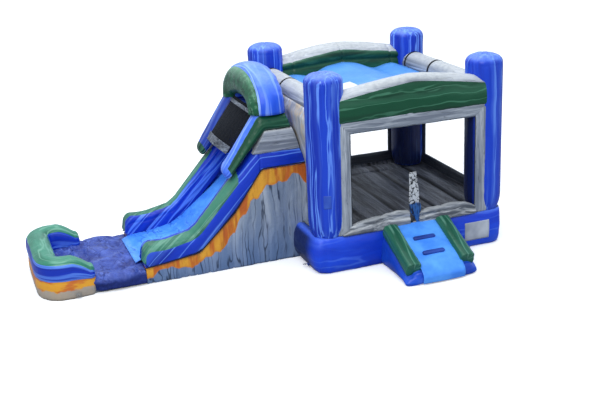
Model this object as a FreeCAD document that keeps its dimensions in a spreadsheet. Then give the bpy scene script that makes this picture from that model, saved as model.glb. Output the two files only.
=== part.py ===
import FreeCAD, Part
import math
import os
import re
import Sketcher

# An inflatable bounce house with a climb, a dry slide and a landing with a bumper.
# Millimetres. The origin is on the ground under the middle of the house, +X is to the right
# seen from the entrance, +Y runs from the entrance to the rear wall and +Z is up.
# The slide leaves the house on its left side and runs towards -X.

SIZES = {
    # house
    "skirt_half": 2085,        # middle of the house to the bulge of its base
    "skirt_inner": 1865,
    "skirt_height": 750,
    "floor_half": 1860,
    "floor_height": 745,
    "skirt_corner": 350,       # plan radius of the base's corners
    "skirt_round": 180,        # radius along the base's long edges
    "chamber_wall": 30,        # thickness left around a hollow air chamber
    "column_axis": 1700,
    "column_radius": 355,
    "column_room": 362,        # radius kept clear around each column
    "column_foot": 755,
    "column_top": 3915,
    "column_dome": 190,
    "column_wall": 30,
    "wall_plane": 2030,        # outer face of the wall frames and beams
    "frame_thick": 70,
    "frame_half": 1585,
    "window_half": 1340,
    "window_low": 995,
    "window_top": 2802,
    "frame_top": 2984,
    "panel_low": 755,
    "sill_top": 1050,
    "sill_deep": 200,
    "beam_low": 2990,
    "beam_end_top": 3570,
    "beam_mid_top": 3765,
    "beam_half": 1590,
    "beam_thick": 500,
    "beam_core_half": 1300,
    "rail_radius": 250,
    "rail_height": 3190,
    "rail_half": 1335,
    "strap_front": 234,        # the two straps round each side rail
    "strap_rear": 1300,
    "strap_wide": 50,
    "tarp_edge_low": 3175,
    "tarp_mid_low": 3335,
    "tarp_thick": 15,
    "tarp_half_wide": 1440,
    "tarp_half_deep": 1520,
    "tarp_patch_x": -880,
    "tarp_patch_y": -600,
    "tarp_patch_long": 380,
    "tarp_patch_wide": 500,
    "net_thick": 8,
    "net_plane": 2000,
    "gap": 5,                  # room between neighbouring soft parts
    # entrance
    "slit_top": 1815,
    "slit_low": 1060,
    "slit_half": 500,
    "slit_gap": 8,             # half of the room between the two leaves
    "slit_hem": 15,            # room between the leaves and the fixed net
    "opening_left": -135,      # the gap between the two sills
    "opening_right": 105,
    "flap_left": -135,
    "flap_right": 130,
    "flap_tip_left": -130,
    "flap_tip_right": 40,
    "flap_low": 765,
    "flap_thick": 10,
    "ramp_left": -720,
    "ramp_right": 675,
    "bolster_wide": 260,
    "ramp_back": -2095,
    "ramp_front": -3230,
    "deck_back_top": 750,
    "deck_front_top": 325,
    "deck_thick": 45,
    "deck_nose": 40,           # the base reaches this far past the deck
    "nose_height": 150,
    "bolster_front": -3170,
    "bolster_up": 105,
    "bolster_down": 180,
    "bolster_round": 45,
    "step_middle": -45,        # middle of the deck's step bars
    "step_long": 480,
    "step_wide": 80,
    "step_high": 45,
    "step_first": 430,         # from the ramp's back to the first and second bar
    "step_second": 820,
    "climb_foot_x": -700,
    "climb_foot_up": 60,
    "climb_ledge": 120,
    "climb_bar_long": 700,
    "climb_bar_wide": 70,
    "climb_bar_high": 45,
    # slide
    "slide_near": -935,
    "slide_far": 1275,
    "slide_back": -2110,
    "slide_end": -5185,
    "side_wide": 425,          # width of each padded side of the slide
    "crest_x": -2480,
    "crest_z": 1870,
    "mid_x": -3306,
    "mid_z": 1147,
    "knee_x": -4301,
    "knee_z": 433,
    "runout_x": -4700,
    "runout_z": 380,
    "end_z": 362,
    "bed_thick": 60,
    "platform_rail_top": 2385,
    "rail_bend_x": -2763,
    "rail_end_z": 700,
    "rail_nose_x": -5117,
    "rail_nose_z": 790,
    "rail_dip_x": -4785,
    "rail_dip_z": 760,
    "rail_knee_x": -4182,
    "rail_knee_z": 892,
    "rail_mid_x": -3383,
    "rail_mid_z": 1790,
    "upper_low": 2700,
    "upper_top": 3043,
    "upper_bend_x": -2640,
    "upper_foot_x": -3340,
    "upper_foot_z": 1880,
    "upper_tip_x": -3430,
    "upper_tip_z": 1960,
    "upper_nose_x": -3420,
    "upper_nose_z": 2110,
    "platform_panel_foot": -2850,
    "platform_panel_head": -2635,
    "platform_panel_in": 40,
    "platform_panel_thick": 100,
    "arch_right": -2205,
    "arch_left": -2715,
    "arch_foot": 3050,
    "arch_shoulder": 3400,
    "arch_top": 3845,
    "arch_corner_drop": 180,
    "arch_corner_in": 150,
    "arch_crown_in": 480,
    "arch_near_in": 35,
    "arch_inner_top": 3190,
    "canopy_low_x": -3400,
    "canopy_low_z": 2130,
    # landing
    "landing_right": -5190,
    "landing_near": -945,
    "landing_far": 1285,
    "landing_height": 262,
    "mat_top": 312,
    "mat_skirt": 15,
    "mat_drop": 50,
    "bumper_left": -7225,
    "bumper_right": -6205,
    "bumper_near": -978,
    "bumper_far": 1318,
    "bumper_thick": 470,
    "bumper_height": 800,
    "bumper_corner": 600,
    "bumper_round": 150,
    # patches
    "rule_left": 1095,
    "rule_right": 1655,
    "rule_low": 170,
    "rule_top": 560,
    "label_wide": 160,
    "label_low": 1384,
    "label_top": 1650,
    "label_turn": -29.5,       # degrees round the column from its front
    "patch_lift": 2,
    "patch_thick": 6,
    # anchors
    "ring_bore": 25,
    "ring_outer": 34,
    "ring_thick": 8,
    "loop_hole": 12,
    "loop_outer": 15,
    "loop_wide": 30,
    "loop_offset": 50,
    "loop_height": 75,
    "tab_wide": 110,
    "tab_high": 110,
    "tab_thick": 6,
    # blower
    "blower_x": 900,
    "blower_y": 3000,
    "scroll_radius": 235,
    "scroll_wide": 280,
    "scroll_axis": 270,
    "scroll_wall": 8,
    "duct_radius": 130,
    "duct_front": 2560,
    "sleeve_radius": 150,
    "sleeve_wall": 4,
    "inlet_radius": 105,
    "impeller_radius": 150,
    "impeller_wide": 110,
    "shaft_radius": 8,
    "shaft_clear": 0.05,
    "motor_radius": 85,
    "motor_long": 190,
    "guard_wire": 5,
    "guard_reach": 120,
    "cord_radius": 6,
    "zip_left": -1100,
    "zip_right": -600,
    "zip_low": 330,
    "zip_high": 390,
}

doc = FreeCAD.newDocument("bounce_house")
sheet = doc.addObject("Spreadsheet::Sheet", "Sizes")
for row, (name, size) in enumerate(SIZES.items(), start=1):
    sheet.set(f"A{row}", name)
    sheet.set(f"B{row}", str(size))
    sheet.setAlias(f"B{row}", name)
doc.recompute()

subparts = {}


def full(expression):
    """The expression with every size written as a cell of the sheet."""
    def cell(word):
        return "Sizes." + word.group(0) if word.group(0) in SIZES else word.group(0)
    return re.sub(r"[a-z_][a-z_0-9]*", cell, str(expression))


def value(expression):
    """The number that the expression gives now."""
    result = sheet.evalExpression(full(expression))
    return float(getattr(result, "Value", result))


def keep(name, piece):
    """Makes the piece one of the sub-parts, under its own name."""
    piece.Label = name
    subparts[name] = piece
    return piece


def box(name, x, y, z):
    """A box between two expressions along each axis."""
    piece = doc.addObject("Part::Box", name)
    for side, axis, (low, high) in zip(("Length", "Width", "Height"), "xyz", (x, y, z)):
        piece.setExpression(side, f"({full(high)}) - ({full(low)})")
        piece.setExpression(f"Placement.Base.{axis}", full(low))
    return piece


TURNS = {
    "X": FreeCAD.Rotation(FreeCAD.Vector(0, 1, 0), 90),
    "Y": FreeCAD.Rotation(FreeCAD.Vector(1, 0, 0), -90),
    "Z": FreeCAD.Rotation(),
}


def cylinder(name, axis, centre, radius, span):
    """A cylinder along an axis; centre holds the other two places in X, Y, Z order."""
    piece = doc.addObject("Part::Cylinder", name)
    low, high = span
    piece.Placement = FreeCAD.Placement(FreeCAD.Vector(), TURNS[axis])
    piece.setExpression("Radius", full(radius))
    piece.setExpression("Height", f"({full(high)}) - ({full(low)})")
    places = list(centre)
    places.insert("XYZ".index(axis), low)
    for letter, place in zip("xyz", places):
        piece.setExpression(f"Placement.Base.{letter}", full(place))
    return piece


def cut(name, base, *tools):
    """The base less every tool."""
    result = base
    for number, tool in enumerate(tools):
        piece = doc.addObject("Part::Cut", f"{name}_cut_{number}")
        piece.Base = result
        piece.Tool = tool
        result = piece
    return result


def fuse(name, *pieces):
    piece = doc.addObject("Part::MultiFuse", name + "_fuse")
    piece.Shapes = list(pieces)
    return piece


def group(name, *pieces):
    """Separate solids that make one sub-part together."""
    piece = doc.addObject("Part::Compound", name + "_group")
    piece.Links = list(pieces)
    return piece


PLANES = {"XY": ("XY_Plane", "z"), "XZ": ("XZ_Plane", "y"), "YZ": ("YZ_Plane", "x")}


def prism(name, plane, corners, span):
    """A body padded from the outline through the corners, across the span."""
    role, letter = PLANES[plane]
    body = doc.addObject("PartDesign::Body", name)
    sketch = body.newObject("Sketcher::SketchObject", name + "_outline")
    origin_plane = next(f for f in body.Origin.OriginFeatures if f.Role == role)
    sketch.AttachmentSupport = (origin_plane, [""])
    sketch.MapMode = "FlatFace"
    points = [FreeCAD.Vector(value(a), value(b), 0) for a, b in corners]
    for start, end in zip(points, points[1:] + points[:1]):
        sketch.addGeometry(Part.LineSegment(start, end))
    for number, (a, b) in enumerate(corners):
        following = (number + 1) % len(corners)
        sketch.addConstraint(Sketcher.Constraint("Coincident", number, 2, following, 1))
        for kind, size in (("DistanceX", a), ("DistanceY", b)):
            if value(size) == 0:
                # a corner on a sketch axis: -2 is the upright axis and -1 the level one
                on_axis = -2 if kind == "DistanceX" else -1
                sketch.addConstraint(Sketcher.Constraint("PointOnObject", number, 1, on_axis))
                continue
            limit = Sketcher.Constraint(kind, -1, 1, number, 1, value(size))
            index = sketch.addConstraint(limit)
            sketch.setExpression(f"Constraints[{index}]", full(size))
    pad = body.newObject("PartDesign::Pad", name + "_pad")
    pad.Profile = sketch
    low, high = span
    pad.setExpression("Length", f"({full(high)}) - ({full(low)})")
    # an outline on the XZ plane grows towards -Y, so its body starts at the high end
    body.setExpression(f"Placement.Base.{letter}", full(high if plane == "XZ" else low))
    doc.recompute()
    return body


def rounded(body, radius, choose=None):
    """Rounds the body's chosen edges; choose takes an edge's two end points."""
    names = []
    for number, edge in enumerate(body.Tip.Shape.Edges, start=1):
        ends = [vertex.Point for vertex in edge.Vertexes]
        if choose is None or choose(ends[0], ends[-1]):
            names.append(f"Edge{number}")
    fillet = body.newObject("PartDesign::Fillet", body.Name + "_round")
    fillet.Base = (body.Tip if body.Tip != fillet else fillet.BaseFeature, names)
    fillet.setExpression("Radius", full(radius))
    body.Tip = fillet
    doc.recompute()
    return body


def upright(start, end):
    return abs(start.x - end.x) < 1 and abs(start.y - end.y) < 1 and abs(start.z - end.z) > 1


def rectangle(x, y):
    """Corners of a rectangle between two expressions each way."""
    return [(x[0], y[0]), (x[1], y[0]), (x[1], y[1]), (x[0], y[1])]


def hollow(name, solid, wall):
    """The solid with one closed air chamber that leaves the wall all round."""
    chamber = doc.addObject("Part::Offset", name + "_chamber")
    chamber.Source = solid
    chamber.setExpression("Value", f"-({full(wall)})")
    return cut(name, solid, chamber)


def along(slope, lift=0):
    """The line of the slide's bed, lifted by an expression."""
    return [(x, f"{z} + ({lift})") for x, z in slope]


BED_LINE = [
    ("slide_back", "crest_z"),
    ("crest_x", "crest_z"),
    ("mid_x", "mid_z"),
    ("knee_x", "knee_z"),
    ("runout_x", "runout_z"),
    ("slide_end", "end_z"),
]
CORNERS = {
    "front_left": (-1, -1),
    "front_right": (1, -1),
    "rear_left": (-1, 1),
    "rear_right": (1, 1),
}


def column_room(name, low, high):
    """Four upright cylinders that keep a part clear of the columns."""
    posts = []
    for corner, (side, end) in CORNERS.items():
        centre = (f"{side} * column_axis", f"{end} * column_axis")
        posts.append(cylinder(f"{name}_{corner}", "Z", centre, "column_room", (low, high)))
    return fuse(name, *posts)


def make_base():
    outline = rectangle(("-skirt_half", "skirt_half"), ("-skirt_half", "skirt_half"))
    ring = prism("skirt_outer", "XY", outline, ("0", "skirt_height"))
    rounded(ring, "skirt_corner", upright)
    rounded(ring, "skirt_round", lambda a, b: abs(a.z - b.z) < 1)
    inner = ("-skirt_inner", "skirt_inner")
    middle = box("skirt_middle", inner, inner, ("-gap", "skirt_height + gap"))
    keep("base_skirt", hollow("base_skirt", cut("skirt_ring", ring, middle), "chamber_wall"))
    across = ("-floor_half", "floor_half")
    slab = box("floor_slab", across, across, ("0", "floor_height"))
    keep("bounce_floor", hollow("bounce_floor", slab, "chamber_wall"))


def make_columns():
    for corner, (side, end) in CORNERS.items():
        name = "column_" + corner
        body = doc.addObject("PartDesign::Body", name + "_body")
        sketch = body.newObject("Sketcher::SketchObject", name + "_circle")
        plane = next(f for f in body.Origin.OriginFeatures if f.Role == "XY_Plane")
        sketch.AttachmentSupport = (plane, [""])
        sketch.MapMode = "FlatFace"
        circle = Part.Circle(FreeCAD.Vector(), FreeCAD.Vector(0, 0, 1), value("column_radius"))
        sketch.addGeometry(circle)
        sketch.addConstraint(Sketcher.Constraint("Coincident", 0, 3, -1, 1))
        radius = sketch.addConstraint(Sketcher.Constraint("Radius", 0, value("column_radius")))
        sketch.setExpression(f"Constraints[{radius}]", full("column_radius"))
        pad = body.newObject("PartDesign::Pad", name + "_pad")
        pad.Profile = sketch
        pad.setExpression("Length", full("column_top - column_foot"))
        doc.recompute()
        rounded(body, "column_dome", lambda a, b: a.z > 1 and b.z > 1)
        places = (f"{side} * column_axis", f"{end} * column_axis", "column_foot")
        for letter, place in zip("xyz", places):
            body.setExpression(f"Placement.Base.{letter}", full(place))
        keep(name, hollow(name, body, "column_wall"))


def make_beams():
    outline = [("-beam_half", "beam_low"), ("beam_half", "beam_low"), ("beam_half", "beam_end_top"),
               ("0", "beam_mid_top"), ("-beam_half", "beam_end_top")]
    wall = "column_wall"
    core = [("-beam_core_half", f"beam_low + {wall}"), ("beam_core_half", f"beam_low + {wall}"),
            ("beam_core_half", f"beam_end_top - {wall}"), ("0", f"beam_mid_top - {wall}"),
            ("-beam_core_half", f"beam_end_top - {wall}")]
    spans = {
        "front_beam": ("-wall_plane", "-wall_plane + beam_thick"),
        "rear_beam": ("wall_plane - beam_thick", "wall_plane"),
    }
    for name, (low, high) in spans.items():
        shell = prism(name + "_outer", "XZ", outline, (low, high))
        chamber = prism(name + "_core", "XZ", core, (f"{low} + {wall}", f"{high} - {wall}"))
        room = column_room(name + "_room", "beam_low - gap", "beam_mid_top + gap")
        keep(name, cut(name, shell, room, chamber))
    for name, side in (("left_rail", -1), ("right_rail", 1)):
        centre = (f"{side} * column_axis", "rail_height")
        tube = cylinder(name + "_tube", "Y", centre, "rail_radius", ("-rail_half", "rail_half"))
        inside = cylinder(name + "_core", "Y", centre, f"rail_radius - {wall}",
                          (f"{wall} - rail_half", f"rail_half - {wall}"))
        keep(name, cut(name, tube, inside))


def make_roof():
    outline = [("-tarp_half_wide", "tarp_edge_low"), ("0", "tarp_mid_low"),
               ("tarp_half_wide", "tarp_edge_low"), ("tarp_half_wide", "tarp_edge_low + tarp_thick"),
               ("0", "tarp_mid_low + tarp_thick"), ("-tarp_half_wide", "tarp_edge_low + tarp_thick")]
    sheet_body = prism("tarp", "XZ", outline, ("-tarp_half_deep", "tarp_half_deep"))
    room = column_room("tarp_room", "tarp_edge_low - 50", "tarp_mid_low + 50")
    keep("roof_canopy", cut("roof_canopy", sheet_body, room))
    straps = []
    for side, place in ((-1, "strap_front"), (-1, "strap_rear"), (1, "strap_front"), (1, "strap_rear")):
        centre = (f"{side} * column_axis", "rail_height")
        name = f"roof_strap_{len(straps)}"
        low, high = f"{place} - strap_wide / 2", f"{place} + strap_wide / 2"
        band = cylinder(name, "Y", centre, "rail_radius + 5", (low, high))
        inside = cylinder(name + "_inside", "Y", centre, "rail_radius + 1", (f"{low} - 5", f"{high} + 5"))
        straps.append(cut(name, band, inside))
    keep("roof_straps", group("roof_straps", *straps))


def wall_strip(name, wall, across, heights):
    """A flat strip in one wall: wall is front, rear, left or right."""
    outer = "wall_plane"
    inner = "wall_plane - frame_thick"
    spans = {
        "front": lambda: (across, (f"-({outer})", f"-({inner})")),
        "rear": lambda: (across, (inner, outer)),
        "left": lambda: ((f"-({outer})", f"-({inner})"), across),
        "right": lambda: ((inner, outer), across),
    }
    x, y = spans[wall]()
    return box(name, x, y, heights)


def make_frames():
    full_height = ("panel_low", "frame_top")
    left_side = ("-frame_half", "-window_half")
    right_side = ("window_half", "frame_half")
    between = ("-window_half + 1", "window_half - 1")
    header = ("window_top", "frame_top")
    footer = ("panel_low", "window_low")
    strips = {
        "front": [(left_side, full_height), (right_side, full_height), (between, header)],
        "rear": [(left_side, full_height), (right_side, full_height), (between, header), (between, footer)],
        "right": [(left_side, full_height), (right_side, full_height), (between, header), (between, footer)],
        "left": [
            (("-frame_half", "slide_near - gap"), full_height),
            (("slide_far + gap", "frame_half"), full_height),
            (("slide_near", "slide_far"), ("window_top", "frame_top")),
            (("slide_near", "slide_far"), ("panel_low", "crest_z - gap")),
        ],
    }
    for wall, pieces in strips.items():
        boxes = []
        for number, (across, heights) in enumerate(pieces):
            name = f"{wall}_strip_{number}"
            strip = wall_strip(name, wall, across, heights)
            upright_strip = heights == full_height
            if upright_strip:
                room = column_room(name + "_room", "panel_low - gap", "frame_top + gap")
                strip = cut(name, strip, room)
            boxes.append(strip)
        keep(wall + "_frame", group(wall + "_frame", *boxes))
    sill_y = ("-wall_plane", "-wall_plane + sill_deep")
    sill_z = ("panel_low", "sill_top")
    keep("front_sill_left", box("sill_left", ("-window_half + gap", "opening_left"), sill_y, sill_z))
    keep("front_sill_right", box("sill_right", ("opening_right", "window_half - gap"), sill_y, sill_z))


def make_nets():
    edge = "window_half - gap"
    top = "window_top - gap"
    front = ("-net_plane", "-net_plane + net_thick")
    sides = []
    for side in (-1, 1):
        corners = [(f"{side} * ({edge})", "sill_top + gap"),
                   (f"{side} * (slit_half + slit_hem)", "sill_top + gap"),
                   (f"{side} * slit_gap", "slit_top + gap + slit_hem"),
                   (f"{side} * slit_gap", top),
                   (f"{side} * ({edge})", top)]
        sides.append(prism(f"front_net_{len(sides)}", "XZ", corners, front))
    keep("front_net", group("front_net", *sides))
    for name, side in (("door_net_left", -1), ("door_net_right", 1)):
        corners = [(f"{side} * slit_gap", "slit_low"),
                   (f"{side} * slit_gap", "slit_top - slit_hem"),
                   (f"{side} * slit_half", "slit_low")]
        keep(name, prism(name + "_leaf", "XZ", corners, front))
    window = ("window_low + gap", top)
    across = (f"-({edge})", edge)
    behind = ("net_plane - net_thick", "net_plane")
    keep("rear_net", box("rear_net_sheet", across, behind, window))
    keep("right_net", box("right_net_sheet", behind, across, window))


def deck_line(lift):
    """The ramp's deck in the YZ plane, lifted by an expression."""
    return [("ramp_back", f"deck_back_top + ({lift})"),
            ("ramp_front + deck_nose", f"deck_front_top + ({lift})")]


def make_entrance():
    flap = [("flap_left", "flap_low"), ("flap_right", "flap_low"),
            ("flap_tip_right", "slit_top + gap"), ("flap_tip_left", "slit_top + gap")]
    keep("door_flap", prism("flap", "XZ", flap, ("-wall_plane - gap - flap_thick", "-wall_plane - gap")))
    back, front = deck_line("-deck_thick - gap")
    ground = [("ramp_front", "0"), ("ramp_back", "0")]
    between = ("ramp_left + bolster_wide + gap", "ramp_right - bolster_wide - gap")
    middle = prism("ramp_middle", "YZ", [back, front, ("ramp_front", "nose_height")] + ground, between)
    back, front = deck_line("-bolster_down - gap")
    low = prism("ramp_low", "YZ", [back, front] + ground, ("ramp_left", "ramp_right"))
    keep("ramp_base", fuse("ramp_base", middle, low))
    deck_back, deck_front = deck_line("0")
    under_back, under_front = deck_line("-deck_thick")
    keep("ramp_deck", prism("deck", "YZ", [deck_back, deck_front, under_front, under_back], between))
    run = "(ramp_front + deck_nose - ramp_back)"
    fall = f"(deck_front_top - deck_back_top) / {run} * (bolster_front - ramp_back)"
    corners = [("ramp_back", "deck_back_top + bolster_up"),
               ("bolster_front", f"deck_back_top + {fall} + bolster_up"),
               ("bolster_front", f"deck_back_top + {fall} - bolster_down"),
               ("ramp_back", "deck_back_top - bolster_down")]
    spans = {
        "ramp_bolster_left": ("ramp_left", "ramp_left + bolster_wide"),
        "ramp_bolster_right": ("ramp_right - bolster_wide", "ramp_right"),
    }
    for name, span in spans.items():
        body = prism(name + "_pad", "YZ", corners, span)
        keep(name, rounded(body, "bolster_round"))


def bar(name, sizes, place, axis, angle):
    """A padded bar of the given length, width and height, turned about an axis where it starts."""
    piece = doc.addObject("Part::Box", name)
    for side, size in zip(("Length", "Width", "Height"), sizes):
        piece.setExpression(side, full(size))
    piece.Placement = FreeCAD.Placement(FreeCAD.Vector(*place), FreeCAD.Rotation(axis, angle))
    return piece


def make_ramp_steps():
    """The two bars across the entrance ramp, lying on its slope."""
    start, top = value("ramp_back"), value("deck_back_top")
    fall = (top - value("deck_front_top")) / (start - value("ramp_front + deck_nose"))
    across = FreeCAD.Vector(1, 0, 0)
    bars = []
    for name in ("step_first", "step_second"):
        back = value(name)
        place = (value("step_middle - step_long / 2"), start - back, top - fall * back + 4)
        sizes = ("step_long", "step_wide", "step_high")
        bars.append(bar("ramp_" + name, sizes, place, across, math.degrees(math.atan(fall))))
    return bars


def make_climb():
    left, right = "-wall_plane + frame_thick + gap", "climb_foot_x"
    head, foot = "crest_z - 10", "panel_low + climb_foot_up"
    corners = [(left, "panel_low"), (right, "panel_low"), (right, foot),
               (f"{left} + climb_ledge", head), (left, head)]
    inside = ("slide_near + side_wide + gap", "slide_far - side_wide - gap")
    keep("climb_ramp", prism("climb", "XZ", corners, inside))
    x0, z0 = value(f"{left} + climb_ledge"), value(head)
    x1, z1 = value(right), value(foot)
    steep = math.atan2(z0 - z1, x1 - x0)
    lift = FreeCAD.Vector(math.sin(steep), 0, math.cos(steep)) * 3
    middle = value("(slide_near + slide_far - climb_bar_long) / 2")
    bars = make_ramp_steps()
    for number, share in enumerate((0.2, 0.45, 0.7)):
        place = FreeCAD.Vector(x0 + (x1 - x0) * share, middle, z0 + (z1 - z0) * share) + lift
        sizes = ("climb_bar_wide", "climb_bar_long", "climb_bar_high")
        bars.append(bar(f"climb_step_{number}", sizes, place, FreeCAD.Vector(0, 1, 0), math.degrees(steep)))
    keep("step_bars", group("step_bars", *bars))


def make_slide():
    under = along(BED_LINE, "-bed_thick - gap")
    body = prism("slide_block", "XZ", under + [("slide_end", "0"), ("slide_back", "0")],
                 ("slide_near", "slide_far"))
    keep("slide_body", hollow("slide_body", body, "chamber_wall"))
    top = along(BED_LINE)
    bottom = along(BED_LINE, "-bed_thick")
    keep("slide_bed", prism("bed", "XZ", top + bottom[::-1],
                            ("slide_near + side_wide + gap", "slide_far - side_wide - gap")))
    rail_top = [("slide_end", "rail_end_z"), ("rail_nose_x", "rail_nose_z"), ("rail_dip_x", "rail_dip_z"),
                ("rail_knee_x", "rail_knee_z"), ("rail_mid_x", "rail_mid_z"),
                ("rail_bend_x - 100", "platform_rail_top"), ("slide_back", "platform_rail_top")]
    near = ("slide_near", "slide_near + side_wide")
    far = ("slide_far - side_wide", "slide_far")
    upper = [("slide_back", "upper_low"), ("upper_bend_x", "upper_low"), ("upper_foot_x", "upper_foot_z"),
             ("upper_tip_x", "upper_tip_z"), ("upper_nose_x", "upper_nose_z"),
             ("rail_bend_x", "upper_top"), ("slide_back", "upper_top")]
    for side, span in (("near", near), ("far", far)):
        rail = "slide_rail_" + side
        keep(rail, hollow(rail, prism(rail + "_pad", "XZ", bottom + rail_top, span), "chamber_wall"))
        wall = "upper_wall_" + side
        keep(wall, prism(wall + "_pad", "XZ", upper, span))
    panel = [("slide_back", "platform_rail_top + gap"), ("platform_panel_foot", "platform_rail_top + gap"),
             ("platform_panel_head", "upper_low - gap"), ("slide_back", "upper_low - gap")]
    reach = "platform_panel_in + platform_panel_thick"
    sides = [("slide_near + platform_panel_in", f"slide_near + {reach}"),
             (f"slide_far - ({reach})", "slide_far - platform_panel_in")]
    panels = [prism(f"platform_panel_{number}", "XZ", panel, span) for number, span in enumerate(sides)]
    keep("platform_panels", group("platform_panels", *panels))
    near_out, near_in = "slide_near + arch_near_in", "slide_near + side_wide"
    far_out, far_in = "slide_far", "slide_far - side_wide"
    arch = [(near_out, "arch_foot"), (near_out, "arch_shoulder"),
            (f"{near_out} + arch_corner_in", "arch_top - arch_corner_drop"),
            (f"{near_out} + arch_crown_in", "arch_top"), (f"{far_out} - arch_crown_in", "arch_top"),
            (f"{far_out} - arch_corner_in", "arch_top - arch_corner_drop"),
            (far_out, "arch_shoulder"), (far_out, "arch_foot"), (far_in, "arch_foot"),
            (f"{far_in} - arch_corner_in", "arch_inner_top"),
            (f"{near_in} + arch_corner_in", "arch_inner_top"), (near_in, "arch_foot")]
    keep("slide_arch", prism("arch", "YZ", arch, ("arch_left", "arch_right")))
    canopy = [("arch_left - 30", "arch_foot + 60"), ("canopy_low_x", "canopy_low_z"),
              ("canopy_low_x + 17", "canopy_low_z - 11"), ("arch_left - 13", "arch_foot + 49")]
    between = ("slide_near + side_wide + gap", "slide_far - side_wide - gap")
    keep("slide_net", prism("canopy", "XZ", canopy, between))


def make_landing():
    right, left, middle_left = "landing_right", "bumper_right + gap", "bumper_left + bumper_thick + gap"
    near, far = "landing_near", "landing_far"
    inner_near, inner_far = "bumper_near + bumper_thick + gap", "bumper_far - bumper_thick - gap"
    outline = [(right, near), (right, far), (left, far), (left, inner_far), (middle_left, inner_far),
               (middle_left, inner_near), (left, inner_near), (left, near)]
    keep("landing_base", prism("landing_block", "XY", outline, ("0", "landing_height")))
    mat = prism("mat_sheet", "XY", outline, ("landing_height + gap", "mat_top"))
    sides = {
        "near": ("landing_near - gap - mat_skirt", "landing_near - gap", "landing_near"),
        "far": ("landing_far + gap + mat_skirt", "landing_far + gap", "landing_far"),
    }
    drapes = []
    for name, (outside, inside, edge) in sides.items():
        drape = (outside, inside) if name == "near" else (inside, outside)
        lip = (outside, edge) if name == "near" else (edge, outside)
        drapes.append(box(f"mat_drape_{name}", (left, right), drape, ("mat_drop", "mat_top")))
        drapes.append(box(f"mat_lip_{name}", (left, right), lip, ("landing_height + gap", "mat_top")))
    keep("landing_mat", fuse("landing_mat", mat, *drapes))
    outer = [("bumper_left", "bumper_near"), ("bumper_right", "bumper_near"),
             ("bumper_right", "bumper_near + bumper_thick"),
             ("bumper_left + bumper_thick", "bumper_near + bumper_thick"),
             ("bumper_left + bumper_thick", "bumper_far - bumper_thick"),
             ("bumper_right", "bumper_far - bumper_thick"), ("bumper_right", "bumper_far"),
             ("bumper_left", "bumper_far")]
    body = prism("bumper_pad", "XY", outer, ("0", "bumper_height"))
    left_end = value("bumper_left") + 1
    rounded(body, "bumper_corner", lambda a, b: upright(a, b) and a.x < left_end)
    top = value("bumper_height") - 1
    rounded(body, "bumper_round", lambda a, b: a.z > top and b.z > top)
    keep("bumper", hollow("bumper", body, "chamber_wall"))


def make_patches():
    """Three blank patches: on the base's front, round the front left column and on the roof."""
    front = ("-skirt_half - patch_lift - patch_thick", "-skirt_half - patch_lift")
    rules = box("rule_patch", ("rule_left", "rule_right"), front, ("rule_low", "rule_top"))
    label = doc.addObject("Part::Box", "label_patch")
    label.setExpression("Length", full("label_wide"))
    label.setExpression("Width", full("patch_thick"))
    label.setExpression("Height", full("label_top - label_low"))
    turn = FreeCAD.Rotation(FreeCAD.Vector(0, 0, 1), value("label_turn"))
    corner = FreeCAD.Vector(value("-label_wide / 2"), value("-column_radius - patch_lift - patch_thick"), 0)
    axis = FreeCAD.Vector(value("-column_axis"), value("-column_axis"), value("label_low"))
    label.Placement = FreeCAD.Placement(axis + turn.multVec(corner), turn)
    rise = value("(tarp_mid_low - tarp_edge_low) / tarp_half_wide")
    height = value("tarp_edge_low + tarp_thick + patch_lift") + rise * value("tarp_half_wide + tarp_patch_x")
    tarp_place = (value("tarp_patch_x"), value("tarp_patch_y"), height)
    tarp_sizes = ("tarp_patch_long", "tarp_patch_wide", "patch_thick")
    along_y = FreeCAD.Vector(0, 1, 0)
    roof = bar("roof_patch", tarp_sizes, tarp_place, along_y, -math.degrees(math.atan(rise)))
    keep("patches", group("patches", rules, label, roof))


# the six anchor points: place on the base and the way the ring points
ANCHORS = [
    ("-skirt_half", "-1500", "-x"),
    ("skirt_half", "-1500", "+x"),
    ("skirt_half", "1500", "+x"),
    ("-1500", "skirt_half", "+y"),
    ("-6500", "bumper_near", "-y"),
    ("-6500", "bumper_far", "+y"),
]
YAWS = {"+x": 0, "+y": 90, "-x": 180, "-y": 270}


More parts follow.
